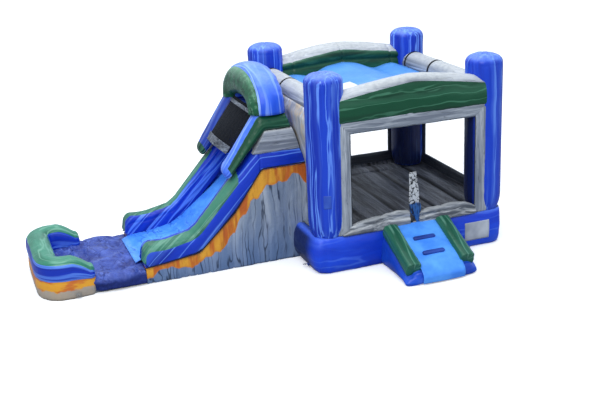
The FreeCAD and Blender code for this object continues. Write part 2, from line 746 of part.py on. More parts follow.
def make_anchors():
    tabs = []
    size = {name: value(name) for name in SIZES}
    reach = (size["ring_bore"] + size["ring_outer"]) / 2
    up = FreeCAD.Vector(0, 0, 1)
    across = FreeCAD.Vector(0, 1, 0)
    for number, (x, y, way) in enumerate(ANCHORS, start=1):
        turn = FreeCAD.Placement(FreeCAD.Vector(value(x), value(y), 0),
                                 FreeCAD.Rotation(up, YAWS[way]))
        # built pointing along +X from the base's face, then turned into place
        plate = Part.makeBox(size["tab_thick"], size["tab_wide"], size["tab_high"],
                             FreeCAD.Vector(2, -size["tab_wide"] / 2, 20))
        strap_long = size["loop_offset"] - size["tab_thick"]
        strap = Part.makeBox(strap_long, size["loop_wide"], 6,
                             FreeCAD.Vector(2, -size["loop_wide"] / 2, size["loop_height"] - 3))
        start = FreeCAD.Vector(size["loop_offset"], -size["loop_wide"] / 2, size["loop_height"])
        loop = Part.makeCylinder(size["loop_outer"], size["loop_wide"], start, across)
        hole = Part.makeCylinder(size["loop_hole"], size["loop_wide"] + 2, start - across, across)
        tab = doc.addObject("Part::Feature", f"anchor_tab_{number}")
        tab.Shape = plate.fuse(strap).fuse(loop).cut(hole)
        tab.Placement = turn
        tabs.append(tab)
        centre = FreeCAD.Vector(size["loop_offset"] + reach, 0, size["loop_height"] - size["ring_thick"] / 2)
        disc = Part.makeCylinder(size["ring_outer"], size["ring_thick"], centre)
        bore = Part.makeCylinder(size["ring_bore"], size["ring_thick"] + 2, centre - up)
        ring = doc.addObject("Part::Feature", f"ring_{number}")
        ring.Shape = disc.cut(bore)
        ring.Placement = turn
        keep(f"anchor_ring_{number}", ring)
    keep("anchor_tabs", group("anchor_tabs", *tabs))


def make_inflation():
    centre = ("blower_x", "scroll_axis")
    span = ("skirt_half + gap", "duct_front + 120")
    tube = cylinder("sleeve_tube", "Y", centre, "sleeve_radius", span)
    through = (span[0] + " - 1", span[1] + " + 1")
    inside = cylinder("sleeve_inside", "Y", centre, "sleeve_radius - sleeve_wall", through)
    keep("inflation_sleeve", cut("inflation_sleeve", tube, inside))
    band = ("duct_front + 50", "duct_front + 90")
    outer = cylinder("strap_band", "Y", centre, "sleeve_radius + 5", band)
    hole = cylinder("strap_hole", "Y", centre, "sleeve_radius + 1", ("duct_front + 40", "duct_front + 100"))
    keep("sleeve_strap", cut("sleeve_strap", outer, hole))
    zip_y = ("skirt_half + 2", "skirt_half + 8")
    keep("deflation_zip", box("zip_tape", ("zip_left", "zip_right"), zip_y, ("zip_low", "zip_high")))
    pull_x = ("zip_left + 15", "zip_left + 55")
    pull_z = ("zip_low + 20", "zip_high - 20")
    keep("zip_slider", box("zip_pull", pull_x, ("skirt_half + 9", "skirt_half + 19"), pull_z))


def make_blower():
    x0, x1 = "blower_x - scroll_wide / 2", "blower_x + scroll_wide / 2"
    centre = ("blower_y", "scroll_axis")
    scroll = cylinder("scroll", "X", centre, "scroll_radius", (x0, x1))
    duct_centre = ("blower_x", "scroll_axis")
    duct = cylinder("duct", "Y", duct_centre, "duct_radius", ("duct_front", "blower_y"))
    foot = box("blower_foot", (x0, x1), ("blower_y - 200", "blower_y + 200"), ("0", "60"))
    chamber = cylinder("scroll_chamber", "X", centre, "scroll_radius - scroll_wall",
                       (x0 + " + scroll_wall", x1 + " - scroll_wall"))
    open_duct = ("duct_front - 1", "blower_y")
    bore = cylinder("duct_bore", "Y", duct_centre, "duct_radius - scroll_wall", open_duct)
    inlet = cylinder("inlet", "X", centre, "inlet_radius", (x1 + " - 2 * scroll_wall", x1 + " + 1"))
    through = (x0 + " - 1", x0 + " + 2 * scroll_wall")
    shaft_hole = cylinder("shaft_hole", "X", centre, "shaft_radius + 6", through)
    shell = fuse("blower_shell", scroll, duct, foot)
    keep("blower_housing", cut("blower_housing", shell, chamber, bore, inlet, shaft_hole))
    motor_right = x0 + " - 1"
    motor_left = x0 + " - 1 - motor_long"
    can = cylinder("motor_can", "X", centre, "motor_radius", (motor_left, motor_right))
    deep = (motor_right + " - 60", motor_right + " + 1")
    motor_bore = cylinder("motor_bore", "X", centre, "shaft_radius + shaft_clear", deep)
    keep("blower_motor", cut("blower_motor", can, motor_bore))
    wheel_left = "blower_x - impeller_wide / 2"
    wheel_right = "blower_x + impeller_wide / 2"
    shaft = cylinder("shaft", "X", centre, "shaft_radius", (motor_right + " - 55", wheel_right))
    hub = cylinder("hub", "X", centre, "30", (wheel_left, wheel_right))
    back_plate = cylinder("back_plate", "X", centre, "impeller_radius", (wheel_left, wheel_left + " + 4"))
    rim = cylinder("rim_disc", "X", centre, "impeller_radius", (wheel_right + " - 4", wheel_right))
    open_rim = (wheel_right + " - 5", wheel_right + " + 1")
    rim_hole = cylinder("rim_hole", "X", centre, "impeller_radius - 40", open_rim)
    blades = []
    middle = FreeCAD.Vector(value("blower_x"), value("blower_y"), value("scroll_axis"))
    for number in range(12):
        blade = doc.addObject("Part::Box", f"blade_{number}")
        blade.setExpression("Length", full("impeller_wide"))
        blade.Width, blade.Height = 5, 60
        turn = FreeCAD.Rotation(FreeCAD.Vector(1, 0, 0), 30 * number)
        root = FreeCAD.Vector(value("-impeller_wide / 2"), -2.5, value("impeller_radius - 62"))
        offset = turn.multVec(root)
        blade.Placement = FreeCAD.Placement(middle + offset, turn)
        blades.append(blade)
    wheel = fuse("impeller", shaft, hub, back_plate, cut("impeller_rim", rim, rim_hole), *blades)
    keep("blower_impeller", wheel)
    rings = []
    guard_left = x1 + " + 1"
    guard_right = x1 + " + 7"
    beyond = (guard_left + " - 1", guard_right + " + 1")
    for number in range(1, 5):
        radius = f"guard_reach * {number} / 4"
        disc = cylinder(f"guard_disc_{number}", "X", centre, radius, (guard_left, guard_right))
        hole = cylinder(f"guard_hole_{number}", "X", centre, radius + " - guard_wire", beyond)
        rings.append(cut(f"guard_ring_{number}", disc, hole))
    half = "guard_wire / 2"
    reach_y = ("blower_y - guard_reach", "blower_y + guard_reach")
    reach_z = ("scroll_axis - guard_reach", "scroll_axis + guard_reach")
    wire_y = (f"blower_y - {half}", f"blower_y + {half}")
    wire_z = (f"scroll_axis - {half}", f"scroll_axis + {half}")
    bars = [box("guard_bar_y", (guard_left, guard_right), reach_y, wire_z),
            box("guard_bar_z", (guard_left, guard_right), wire_y, reach_z)]
    keep("blower_guard", fuse("blower_guard", *rings, *bars))
    switch_x = x0 + " - 60"
    rocker = box("rocker", (switch_x, f"{switch_x} + 12"), ("blower_y - 10", "blower_y + 10"),
                 ("scroll_axis + motor_radius + 3", "scroll_axis + motor_radius + 12"))
    keep("blower_switch", rocker)
    cord_x = x0 + " - 100"
    cord = cylinder("cord_run", "Y", (cord_x, "8"), "cord_radius", ("blower_y + 80", "blower_y + 700"))
    rise = cylinder("cord_rise", "Z", (cord_x, "blower_y + 96"), "cord_radius - 0.5", ("8", "scroll_axis"))
    plug = box("plug", (x0 + " - 118", x0 + " - 82"), ("blower_y + 700", "blower_y + 750"), ("0", "26"))
    keep("blower_cord", fuse("blower_cord", cord, rise, plug))


for make in (make_base, make_columns, make_beams, make_roof, make_frames, make_nets, make_entrance,
             make_climb, make_slide, make_landing, make_patches, make_anchors, make_inflation, make_blower):
    make()
doc.recompute()

for piece in doc.Objects:
    if {"Invalid", "Error"} & set(piece.State):
        raise RuntimeError(f"{piece.Label} failed: {piece.State}")
for name, piece in subparts.items():
    if piece.Shape.isNull() or not piece.Shape.isValid() or not piece.Shape.Solids:
        raise RuntimeError(f"{name} has no valid solid")

os.makedirs("parts", exist_ok=True)
for name, piece in subparts.items():
    piece.Shape.exportStep(f"parts/{name}.step")
print(len(subparts), "sub-parts,", round(sum(p.Shape.Volume for p in subparts.values()) / 1e9, 2), "m3")
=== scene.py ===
import math

import bmesh
import bpy
import numpy as np
from mathutils import Matrix, Vector
from mathutils.bvhtree import BVHTree


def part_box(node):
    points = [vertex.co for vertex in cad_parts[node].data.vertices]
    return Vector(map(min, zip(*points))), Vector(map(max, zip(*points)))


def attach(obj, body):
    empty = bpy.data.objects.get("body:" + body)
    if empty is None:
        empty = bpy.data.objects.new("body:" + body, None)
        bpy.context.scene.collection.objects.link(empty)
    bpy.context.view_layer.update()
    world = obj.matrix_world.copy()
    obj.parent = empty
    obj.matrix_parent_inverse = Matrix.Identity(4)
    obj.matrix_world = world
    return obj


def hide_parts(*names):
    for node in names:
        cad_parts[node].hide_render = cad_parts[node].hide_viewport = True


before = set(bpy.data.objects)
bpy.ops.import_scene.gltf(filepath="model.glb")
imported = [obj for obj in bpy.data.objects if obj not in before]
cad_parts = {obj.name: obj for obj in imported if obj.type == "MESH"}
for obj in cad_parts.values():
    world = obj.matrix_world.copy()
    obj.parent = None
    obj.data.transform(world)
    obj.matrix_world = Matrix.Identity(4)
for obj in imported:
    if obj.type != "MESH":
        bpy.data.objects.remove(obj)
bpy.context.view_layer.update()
HOUSE = "house"
UP = (0, 0, 1)


# ---------------------------------------------------------------- numbers
def smooth(t):
    """0 below 0, 1 above 1 and an even curve between."""
    t = np.clip(t, 0.0, 1.0)
    return t * t * (3.0 - 2.0 * t)


def lattice(cell, seed):
    """A fixed number from 0 to 1 for each whole-number place."""
    mixed = cell[..., 0] * 374761393 + cell[..., 1] * 668265263 + cell[..., 2] * 1274126177
    mixed = (mixed + seed * 974634777) & 0xFFFFFFFF
    mixed = ((mixed ^ (mixed >> 13)) * 1103515245) & 0xFFFFFFFF
    mixed = ((mixed ^ (mixed >> 15)) * 2246822519) & 0xFFFFFFFF
    return ((mixed ^ (mixed >> 13)) & 0xFFFFFF) / float(0xFFFFFF)


def noise(points, scale, seed=0, octaves=2):
    """Soft noise from -1 to 1 at each point; scale is cells per metre along each axis."""
    total = np.zeros(points.shape[:-1])
    weight = 1.0
    weights = 0.0
    cells = points * np.asarray(scale, float)
    for octave in range(octaves):
        cell = np.floor(cells).astype(np.int64)
        part = smooth(cells - cell)
        value = np.zeros(points.shape[:-1])
        for corner in np.ndindex(2, 2, 2):
            share = np.prod(np.where(corner, part, 1.0 - part), axis=-1)
            value += share * lattice(cell + np.array(corner), seed + 17 * octave)
        total += weight * (2.0 * value - 1.0)
        weights += weight
        weight *= 0.5
        cells = cells * 2.03 + 11.3
    return total / weights


def spread(x, y, z):
    """Points from three coordinates, each an array or one number for all."""
    return np.stack(np.broadcast_arrays(x, y, z), -1)


def gathers(x, y, z, seed, octaves=2):
    """Noise over three coordinates that are already in cells."""
    return noise(spread(x, y, z), 1.0, seed, octaves)


def bell(distance, width):
    """1 at no distance, fading evenly both ways."""
    return np.exp(-(distance / width) ** 2)


def near_seam(within, reach):
    """1 at both seams of a panel, fading over a share of its width."""
    return np.exp(-np.minimum(within, 1 - within) / reach)


def unit(vectors):
    return vectors / np.maximum(np.linalg.norm(vectors, axis=-1, keepdims=True), 1e-12)


def middle_and_half(low, high):
    return (low + high) / 2, (high - low) / 2


# ---------------------------------------------------------------- mesh building
def new_object(name, points, faces, uvs=None, face_material=None, materials=()):
    mesh = bpy.data.meshes.new(name)
    mesh.from_pydata([tuple(p) for p in points], [], faces)
    if uvs is not None:
        layer = mesh.uv_layers.new(name="flow")
        layer.data.foreach_set("uv", np.asarray(uvs, np.float32).ravel())
    for material in materials:
        mesh.materials.append(M[material])
    if face_material is not None:
        mesh.polygons.foreach_set("material_index", np.asarray(face_material, np.int32))
    mesh.polygons.foreach_set("use_smooth", [True] * len(mesh.polygons))
    obj = bpy.data.objects.new(name, mesh)
    bpy.context.scene.collection.objects.link(obj)
    return obj


def mesh_points(mesh, what="co"):
    values = np.empty(len(mesh.vertices) * 3, np.float32)
    mesh.vertices.foreach_get(what, values)
    return values.reshape(-1, 3)


def outward(obj):
    """Turns every face of a closed mesh outwards."""
    shape = bmesh.new()
    shape.from_mesh(obj.data)
    bmesh.ops.recalc_face_normals(shape, faces=shape.faces)
    shape.to_mesh(obj.data)
    shape.free()
    return obj


def rounded_path(points, radius, step, closed=False):
    """Points about a step apart along straight runs joined by smooth bends."""
    points = [np.asarray(p, float) for p in points]
    count = len(points)
    bends = {}
    for i in range(count) if closed else range(1, count - 1):
        before, here, after = points[i - 1], points[i], points[(i + 1) % count]
        into, out = here - before, after - here
        reach = radius[i] if isinstance(radius, (list, tuple)) else radius
        reach = min(reach, 0.49 * np.linalg.norm(into), 0.49 * np.linalg.norm(out))
        start = here - into / np.linalg.norm(into) * reach
        end = here + out / np.linalg.norm(out) * reach
        pieces = max(4, int(math.ceil(2.0 * reach / step)))
        t = np.linspace(0.0, 1.0, pieces + 1)[:, None]
        bends[i] = (1 - t) ** 2 * start + 2 * t * (1 - t) * here + t ** 2 * end
    stretches = [bends.get(i, points[i][None, :]) for i in range(count)]
    if closed:
        stretches.append(stretches[0][:1])
    line = [stretches[0]]
    for stretch in stretches[1:]:
        start, end = line[-1][-1], stretch[0]
        pieces = max(1, int(round(np.linalg.norm(end - start) / step)))
        t = np.linspace(0.0, 1.0, pieces + 1)[1:, None]
        line.append(start + (end - start) * t)
        if len(stretch) > 1:
            line.append(stretch[1:])
    path = np.concatenate(line)
    return path[:-1] if closed else path


def lengths(path):
    steps = np.linalg.norm(np.diff(path, axis=0), axis=-1)
    return np.concatenate([[0.0], np.cumsum(steps)])


def section(corners, bulges, counts, fullness):
    """Points round a sewn section: each panel bulges between two seams. Corners run anticlockwise."""
    corners = [np.asarray(c, float) for c in corners]
    ring = []
    for k, start in enumerate(corners):
        chord = corners[(k + 1) % len(corners)] - start
        normal = np.array([chord[1], -chord[0]]) / max(np.linalg.norm(chord), 1e-9)
        t = (np.arange(counts[k]) / counts[k])[:, None]
        ring.append(start + chord * t + normal * bulges[k] * (4.0 * t * (1.0 - t)) ** fullness)
    return np.concatenate(ring)


def steady(corners, bulges):
    """The same section all along a path."""
    return lambda share, distance: (corners, bulges)


def circle(radius, sides, bulge=None):
    """The corners and bulges of a round section; the bulges fill the circle unless one is given."""
    turns = [2 * math.pi * k / sides for k in range(sides)]
    corners = [(radius * math.cos(turn), radius * math.sin(turn)) for turn in turns]
    return corners, [radius * (1 - math.cos(math.pi / sides)) if bulge is None else bulge] * sides


def down_rings(rings, closed):
    if closed:
        return np.roll(rings, -1, 0) - np.roll(rings, 1, 0)
    return np.gradient(rings, axis=0)


def surface_normals(rings, closed):
    """Outward directions of a grid of rings."""
    normal = unit(np.cross(down_rings(rings, closed), np.roll(rings, -1, 1) - np.roll(rings, 1, 1)))
    outside = ((rings - rings.mean(1, keepdims=True)) * normal).sum(-1).mean()
    return -normal if outside < 0 else normal


def sewn_tube(name, path, sections, counts, materials, panel_material=None, up=UP, closed=False, fullness=0.75,
              **more):
    """A closed soft body: sections, each a pair of corners and bulges, carried along a path."""
    path = np.asarray(path, float)
    along = unit(down_rings(path, closed))
    side = unit(np.cross(along, np.asarray(up, float)))
    top = np.cross(side, along)
    run = lengths(path)
    rings = []
    for k, distance in enumerate(run):
        corners, bulges = sections(distance / run[-1], distance)
        ring = section(corners, bulges, counts, fullness)
        rings.append(path[k] + ring[:, :1] * side[k] + ring[:, 1:2] * top[k])
    return skin(name, np.array(rings), run, counts, materials, panel_material, closed, along, **more)


def skin(name, rings, run, counts, materials, panel_material=None, closed=False, along=None, caps=(0.0, 0.0),
         cap_material=None, relief=None):
    """Presses folds into a grid of rings and skins it; counts gives the points of each panel round a ring."""
    panel = np.repeat(np.arange(len(counts)), counts)
    if relief is not None:
        within = np.concatenate([np.arange(c) / c for c in counts])
        maps = np.broadcast_arrays(run[:, None], panel, within)
        rings = rings + surface_normals(rings, closed) * relief(rings, *maps, run[-1])[..., None]
    if along is None:
        along = unit(np.gradient(rings.mean(1), axis=0))
    face_panel = np.array(panel_material or [0] * len(counts))[panel]
    return loft(name, rings, run, along, closed, caps, materials, face_panel, cap_material)


CAP_RINGS = 7
CAP_STEP = 0.03          # between the rings of a cap, in the flow map


def loft(name, rings, run, along, closed, caps, materials, face_panel, cap_material=None):
    """Skins a grid of rings and closes its ends with rounded caps."""
    stations, around = rings.shape[:2]
    run, grid = list(run), list(rings)
    own = [True] * (stations - 1)
    for end in () if closed else (0, 1):
        ring = rings[-end]
        centre = ring.mean(0)
        direction = along[-end] * (1 if end else -1)
        for k in range(1, CAP_RINGS + 1):
            angle = 0.5 * math.pi * k / CAP_RINGS
            scale = max(math.cos(angle), 0.02) ** 0.55 if k < CAP_RINGS else 0.02
            at = len(grid) if end else 0
            grid.insert(at, centre + (ring - centre) * scale + direction * caps[end] * math.sin(angle))
            run.insert(at, run[-end] + (CAP_STEP if end else -CAP_STEP))
            own.insert(at, cap_material is None)
    grid = np.array(grid)
    rows = len(grid)
    girth = lengths(np.concatenate([grid[rows // 2], grid[rows // 2][:1]]))
    run.append(run[-1] + (run[-1] - run[-2]))
    faces, uvs, face_material = [], [], []
    for i in range(rows if closed else rows - 1):
        low, high = i * around, ((i + 1) % rows) * around
        for j in range(around):
            k = (j + 1) % around
            faces.append((low + j, low + k, high + k, high + j))
            uvs.extend((girth[u], run[v]) for u, v in ((j, i), (j + 1, i), (j + 1, i + 1), (j, i + 1)))
            face_material.append(face_panel[j] if closed or own[i] else cap_material)
    if not closed:
        for row, order in ((0, range(around)), (rows - 1, range(around - 1, -1, -1))):
            faces.append(tuple(row * around + j for j in order))
            uvs.extend([(0.0, run[row])] * around)
            face_material.append(cap_material or 0)
    return outward(new_object(name, grid.reshape(-1, 3), faces, uvs, face_material, materials))


def carried(profile, values, axis):
    """A grid: the profile, repeated at each value along one axis."""
    grid = np.repeat(profile[:, None, :], len(values), axis=1)
    grid[..., axis] = values
    return grid


def upward(grid):
    """Directions off a grid, on the side that is the upper one at its middle."""
    normal = unit(np.cross(np.gradient(grid, axis=1), np.gradient(grid, axis=0)))
    return -normal if normal[len(grid) // 2, 10, 2] < 0 else normal


def sheet(name, grid, thick, material):
    """A thin closed sheet over a grid of points, as thick as real coated fabric can be drawn."""
    rows, columns = grid.shape[:2]
    normal = unit(np.cross(np.gradient(grid, axis=0), np.gradient(grid, axis=1)))
    both = np.concatenate([(grid + normal * thick / 2).reshape(-1, 3), (grid - normal * thick / 2).reshape(-1, 3)])
    half = rows * columns
    faces = []
    for i in range(rows - 1):
        for j in range(columns - 1):
            a, b = i * columns + j, i * columns + j + 1
            c, d = b + columns, a + columns
            faces += [(a, b, c, d), (a + half, d + half, c + half, b + half)]
    number = np.arange(half).reshape(rows, columns)
    rim = [*number[0], *number[1:, -1], *number[-1, -2::-1], *number[-2:0:-1, 0]]
    faces += [(a, a + half, b + half, b) for a, b in zip(rim, rim[1:] + rim[:1])]
    u, v = lengths(grid[rows // 2])[None, :], lengths(grid[:, columns // 2])[:, None]
    flow = spread(u, v, 0.0)[..., :2].reshape(-1, 2)
    uvs = [flow[corner % half] for face in faces for corner in face]
    return outward(new_object(name, both, faces, uvs, None, [material]))


def place(obj, slot, *stands_for, body=HOUSE):
    """Rides the piece on its body and hides the CAD nodes that it stands for; its finish, the slot, is not used."""
    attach(obj, body)
    if stands_for:
        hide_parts(*stands_for)


# ---------------------------------------------------------------- materials
M = {}


class Graph:
    """A short way to write a material's nodes."""

    def __init__(self, name):
        M[name] = self.material = bpy.data.materials.new(name)
        self.material.use_nodes = True
        self.nodes = self.material.node_tree.nodes
        self.links = self.material.node_tree.links
        self.nodes.clear()
        output = self.nodes.new("ShaderNodeOutputMaterial")
        self.bsdf = self.nodes.new("ShaderNodeBsdfPrincipled")
        self.links.new(self.bsdf.outputs[0], output.inputs[0])
        self.place = self.node("ShaderNodeTexCoord", output=3)

    def put(self, socket, value):
        if isinstance(value, bpy.types.NodeSocket):
            self.links.new(value, socket)
        elif isinstance(value, (tuple, list)) and len(value) == 3 and len(socket.default_value) == 4:
            socket.default_value = (*value, 1.0)
        else:
            socket.default_value = value

    def node(self, kind, inputs=None, output=0, **settings):
        node = self.nodes.new(kind)
        for key, value in settings.items():
            setattr(node, key, value)
        for key, value in (inputs or {}).items():
            self.put(node.inputs[key], value)
        return node.outputs[output]

    def flow(self):
        return self.node("ShaderNodeTexCoord", output=2)

    def facing(self):
        return self.node("ShaderNodeNewGeometry", output=1)

    def axis(self, vector, number):
        return self.node("ShaderNodeSeparateXYZ", {0: vector}, output=number)

    def vector(self, operation, a, b, output=0):
        return self.node("ShaderNodeVectorMath", {0: a, "Scale" if operation == "SCALE" else 1: b}, output,
                         operation=operation)

    def scaled(self, vector, scale):
        return self.node("ShaderNodeMapping", {"Vector": vector, "Scale": scale})

    def noise(self, vector, scale=1.0, detail=2.0, rough=0.5, warp=0.0):
        settings = {"Vector": vector, "Scale": scale, "Detail": detail, "Roughness": rough, "Distortion": warp}
        return self.node("ShaderNodeTexNoise", settings)

    def cells(self, scale, detail=2.0, rough=0.5, warp=0.0):
        """Noise with its own number of cells per metre along each axis."""
        return self.noise(self.scaled(self.place, scale), 1.0, detail, rough, warp)

    def wave(self, scale, direction):
        return self.node("ShaderNodeTexWave", {"Vector": self.place, "Scale": scale}, 1, bands_direction=direction)

    def adrift(self, vector, scale, amount):
        """The same place, moved a little by slow noise."""
        sway = self.node("ShaderNodeTexNoise", {"Vector": vector, "Scale": scale, "Detail": 2.0}, output=1)
        sway = self.vector("SCALE", self.vector("SUBTRACT", sway, (0.5, 0.5, 0.5)), amount)
        return self.vector("ADD", vector, sway)

    def math(self, operation, a, b=0.0):
        return self.node("ShaderNodeMath", {0: a, 1: b}, operation=operation)

    def times(self, first, *others):
        for other in others:
            first = self.math("MULTIPLY", first, other)
        return first

    def gap(self, value, centre):
        return self.math("ABSOLUTE", self.math("SUBTRACT", value, centre))

    def ease(self, value, low, high, to_low=0.0, to_high=1.0):
        settings = {"Value": value, "From Min": low, "From Max": high, "To Min": to_low, "To Max": to_high}
        return self.node("ShaderNodeMapRange", settings, interpolation_type="SMOOTHSTEP")

    def fall(self, value, low, high, top=1.0):
        return self.ease(value, low, high, top, 0.0)

    def mix(self, share, a, b):
        node = self.nodes.new("ShaderNodeMix")
        node.data_type = "RGBA"
        for socket, value in ((node.inputs[0], share), (node.inputs[6], a), (node.inputs[7], b)):
            self.put(socket, value)
        return node.outputs[2]

    def bump(self, height, strength, distance, **normal):
        return self.node("ShaderNodeBump", {"Height": height, "Strength": strength, "Distance": distance, **normal})

    def finish(self, colour, rough, normal=None, coat=0.0, metal=0.0):
        values = {"Base Color": colour, "Roughness": rough, "Metallic": metal, "Coat Weight": coat,
                  "Coat Roughness": 0.25, "Specular IOR Level": 0.5 if metal else 0.3}
        if normal is not None:
            values["Normal"] = normal
        for key, value in values.items():
            self.put(self.bsdf.inputs[key], value)

    def vinyl(self, colour, rough=0.36, wrinkle=0.25):
        """The sheen, fine cloth grain and small creases of coated fabric."""
        normal = self.bump(self.cells((9.0, 9.0, 9.0), 3.0, 0.55, 0.6), wrinkle, 0.03)
        grain = self.math("ADD", self.wave(160.0, "X"), self.wave(160.0, "Z"))
        worn = self.ease(self.noise(self.place, 2.3, 4.0, 0.6), 0.35, 0.75, rough - 0.06, rough + 0.10)
        self.finish(colour, worn, self.bump(grain, 0.03, 0.001, Normal=normal), coat=0.06)


def srgb(red, green, blue):
    """A colour given as 0 to 255 screen values, in the linear light that the nodes use."""
    return tuple(((c / 255.0 + 0.055) / 1.055) ** 2.4 if c > 10 else c / 255.0 / 12.92 for c in (red, green, blue))


def in_the_shade(g, colour):
    """Darker under the roof, inside the four walls, and at the end of the base beside the slide."""
    x, y, z = (g.axis(g.place, k) for k in range(3))
    far = g.math("MAXIMUM", g.math("ABSOLUTE", x), g.math("ABSOLUTE", y))
    inside = g.fall(far, 1.76, 1.87)
    to_middle = g.vector("MULTIPLY", g.place, (-0.5, -0.5, 0.0))
    inward = g.vector("DOT_PRODUCT", g.facing(), to_middle, output=1)
    facing = g.times(g.ease(inward, 0.0, 0.24), g.fall(far, 2.03, 2.08))
    covered = g.times(g.fall(z, 2.93, 3.05), g.ease(z, 0.70, 0.80))
    roofed = g.times(covered, g.math("MAXIMUM", inside, facing))
    corner = g.times(g.fall(x, -2.02, -1.92), g.ease(x, -2.6, -2.4), g.fall(z, 0.66, 0.74))
    corner = g.times(corner, g.times(g.ease(y, -1.98, -1.50), g.fall(y, 0.0, 0.4)))
    corner = g.times(corner, g.fall(g.axis(g.facing(), 0), -0.95, -0.45))
    return g.mix(g.times(g.math("MAXIMUM", roofed, corner), 0.86), colour, (0.004, 0.007, 0.016))


def painted_top_light(g, colour, top, amount):
    """Painted top light: lighter where the cloth faces the sky, in crinkled specks of painted highlight."""
    specks = g.ease(g.noise(g.place, 11.0, 4.0, 0.6), 0.36, 0.62, 0.72, 1.0)
    return g.mix(g.times(g.ease(g.axis(g.facing(), 2), 0.25, 0.95, 0.0, amount), specks), colour, top)


def marble(name, colours, stretch, streaks=1.0, use_flow=False, rough=0.36, grain=0.0, drift=0.10, top=None,
           top_light=0.0):
    """Streaked print: long soft bands and thin bright lines along one direction, drifting a little sideways."""
    base, dark, light = colours
    g = Graph(name)
    vector = g.scaled(g.adrift(g.flow() if use_flow else g.place, 1.1, drift), stretch)
    colour = g.mix(g.ease(g.noise(vector, 0.8, 3.0, 0.55), 0.36, 0.60), dark, base)
    thin = g.fall(g.gap(g.noise(vector), 0.53), 0.006, 0.045)
    fade = g.ease(g.noise(vector, 0.45), 0.36, 0.56)
    colour = g.mix(g.times(thin, fade, 0.72 * streaks), colour, light)
    broad = g.ease(g.noise(vector, 0.62), 0.54, 0.70)
    colour = g.mix(g.times(broad, 0.2 * streaks), colour, light)
    if grain:
        colour = g.mix(g.times(g.ease(g.noise(vector, 4.5, 5.0, 0.7), 0.47, 0.66), grain), colour, dark)
        line = g.fall(g.gap(g.noise(vector, 1.4), 0.52), 0.0, 0.012)
        colour = g.mix(g.times(line, 0.7 * grain), colour, tuple(c * 0.25 for c in dark))
    # painted top light and painted highlight on the sky-facing cloth
    if top_light:
        colour = painted_top_light(g, colour, top, top_light)
    g.vinyl(in_the_shade(g, colour), rough)


def marble_flow(name, colours, across, along, **more):
    """Marble whose streaks follow a tube, by its flow map."""
    marble(name, colours, (across, along, 1.0), use_flow=True, **more)


def plain_vinyl(name, colour, shade, rough=0.36, wrinkle=0.3):
    """A single-colour coated fabric with slow changes of tone."""
    g = Graph(name)
    tone = g.ease(g.noise(g.place, 1.6, 3.0, 0.6), 0.35, 0.68)
    g.vinyl(g.mix(tone, shade, colour), rough, wrinkle)


def painted_crease_shading(g, colour, dark, light, scale, share):
    """Painted crease shading: thin dark lines of painted shade, each with a light lip of painted highlight beside it,
    where loose cloth is pinched.
    """
    waves = g.cells(scale, 3.0, 0.55, 0.5)
    line = g.fall(g.gap(waves, 0.49), 0.0, 0.040)
    lip = g.fall(g.gap(waves, 0.54), 0.0, 0.022, 0.35)
    patchy = g.times(g.ease(g.noise(g.place, 2.6), 0.36, 0.52), share)
    colour = g.mix(g.times(lip, patchy), colour, light)
    return g.mix(g.times(line, patchy), colour, dark)


def bed_vinyl():
    """Light blue sliding surface, creased where it runs out, with painted shade and highlights along the creases."""
    g = Graph("slide_bed_vinyl")
    tone = g.ease(g.noise(g.place, 1.6, 3.0, 0.6), 0.35, 0.68)
    colour = g.mix(tone, srgb(66, 138, 240), srgb(94, 170, 255))
    share = g.ease(g.axis(g.place, 0), -4.1, -3.6, 0.75, 0.10)
    g.vinyl(painted_crease_shading(g, colour, srgb(34, 84, 190), srgb(150, 205, 255), (4.5, 2.2, 3.0), share), 0.36, 0.5)


LANE_SEAMS = (-1.615, -0.8075, 0.0, 0.8075, 1.46)      # the sewn lines of the floor, across the house


def floor_print():
    """Dark boards printed along the lanes, with a thin dark seam at each lane."""
    g = Graph("floor_boards")
    boards = g.scaled(g.place, (9.0, 0.55, 2.0))
    band = g.noise(boards, 1.0, 5.0, 0.68, 0.4)
    fine = g.noise(g.scaled(boards, (4.0, 1.5, 1.0)), 1.0, 4.0, 0.7)
    colour = g.mix(g.ease(band, 0.3, 0.7), srgb(42, 44, 51), srgb(134, 138, 147))
    colour = g.mix(g.times(g.ease(fine, 0.4, 0.75), 0.6), colour, srgb(26, 29, 36))
    for seam in LANE_SEAMS:
        colour = g.mix(g.fall(g.gap(g.axis(g.place, 0), seam), 0.012, 0.085, 0.95), colour, srgb(15, 17, 22))
    g.vinyl(colour, 0.55, 0.15)


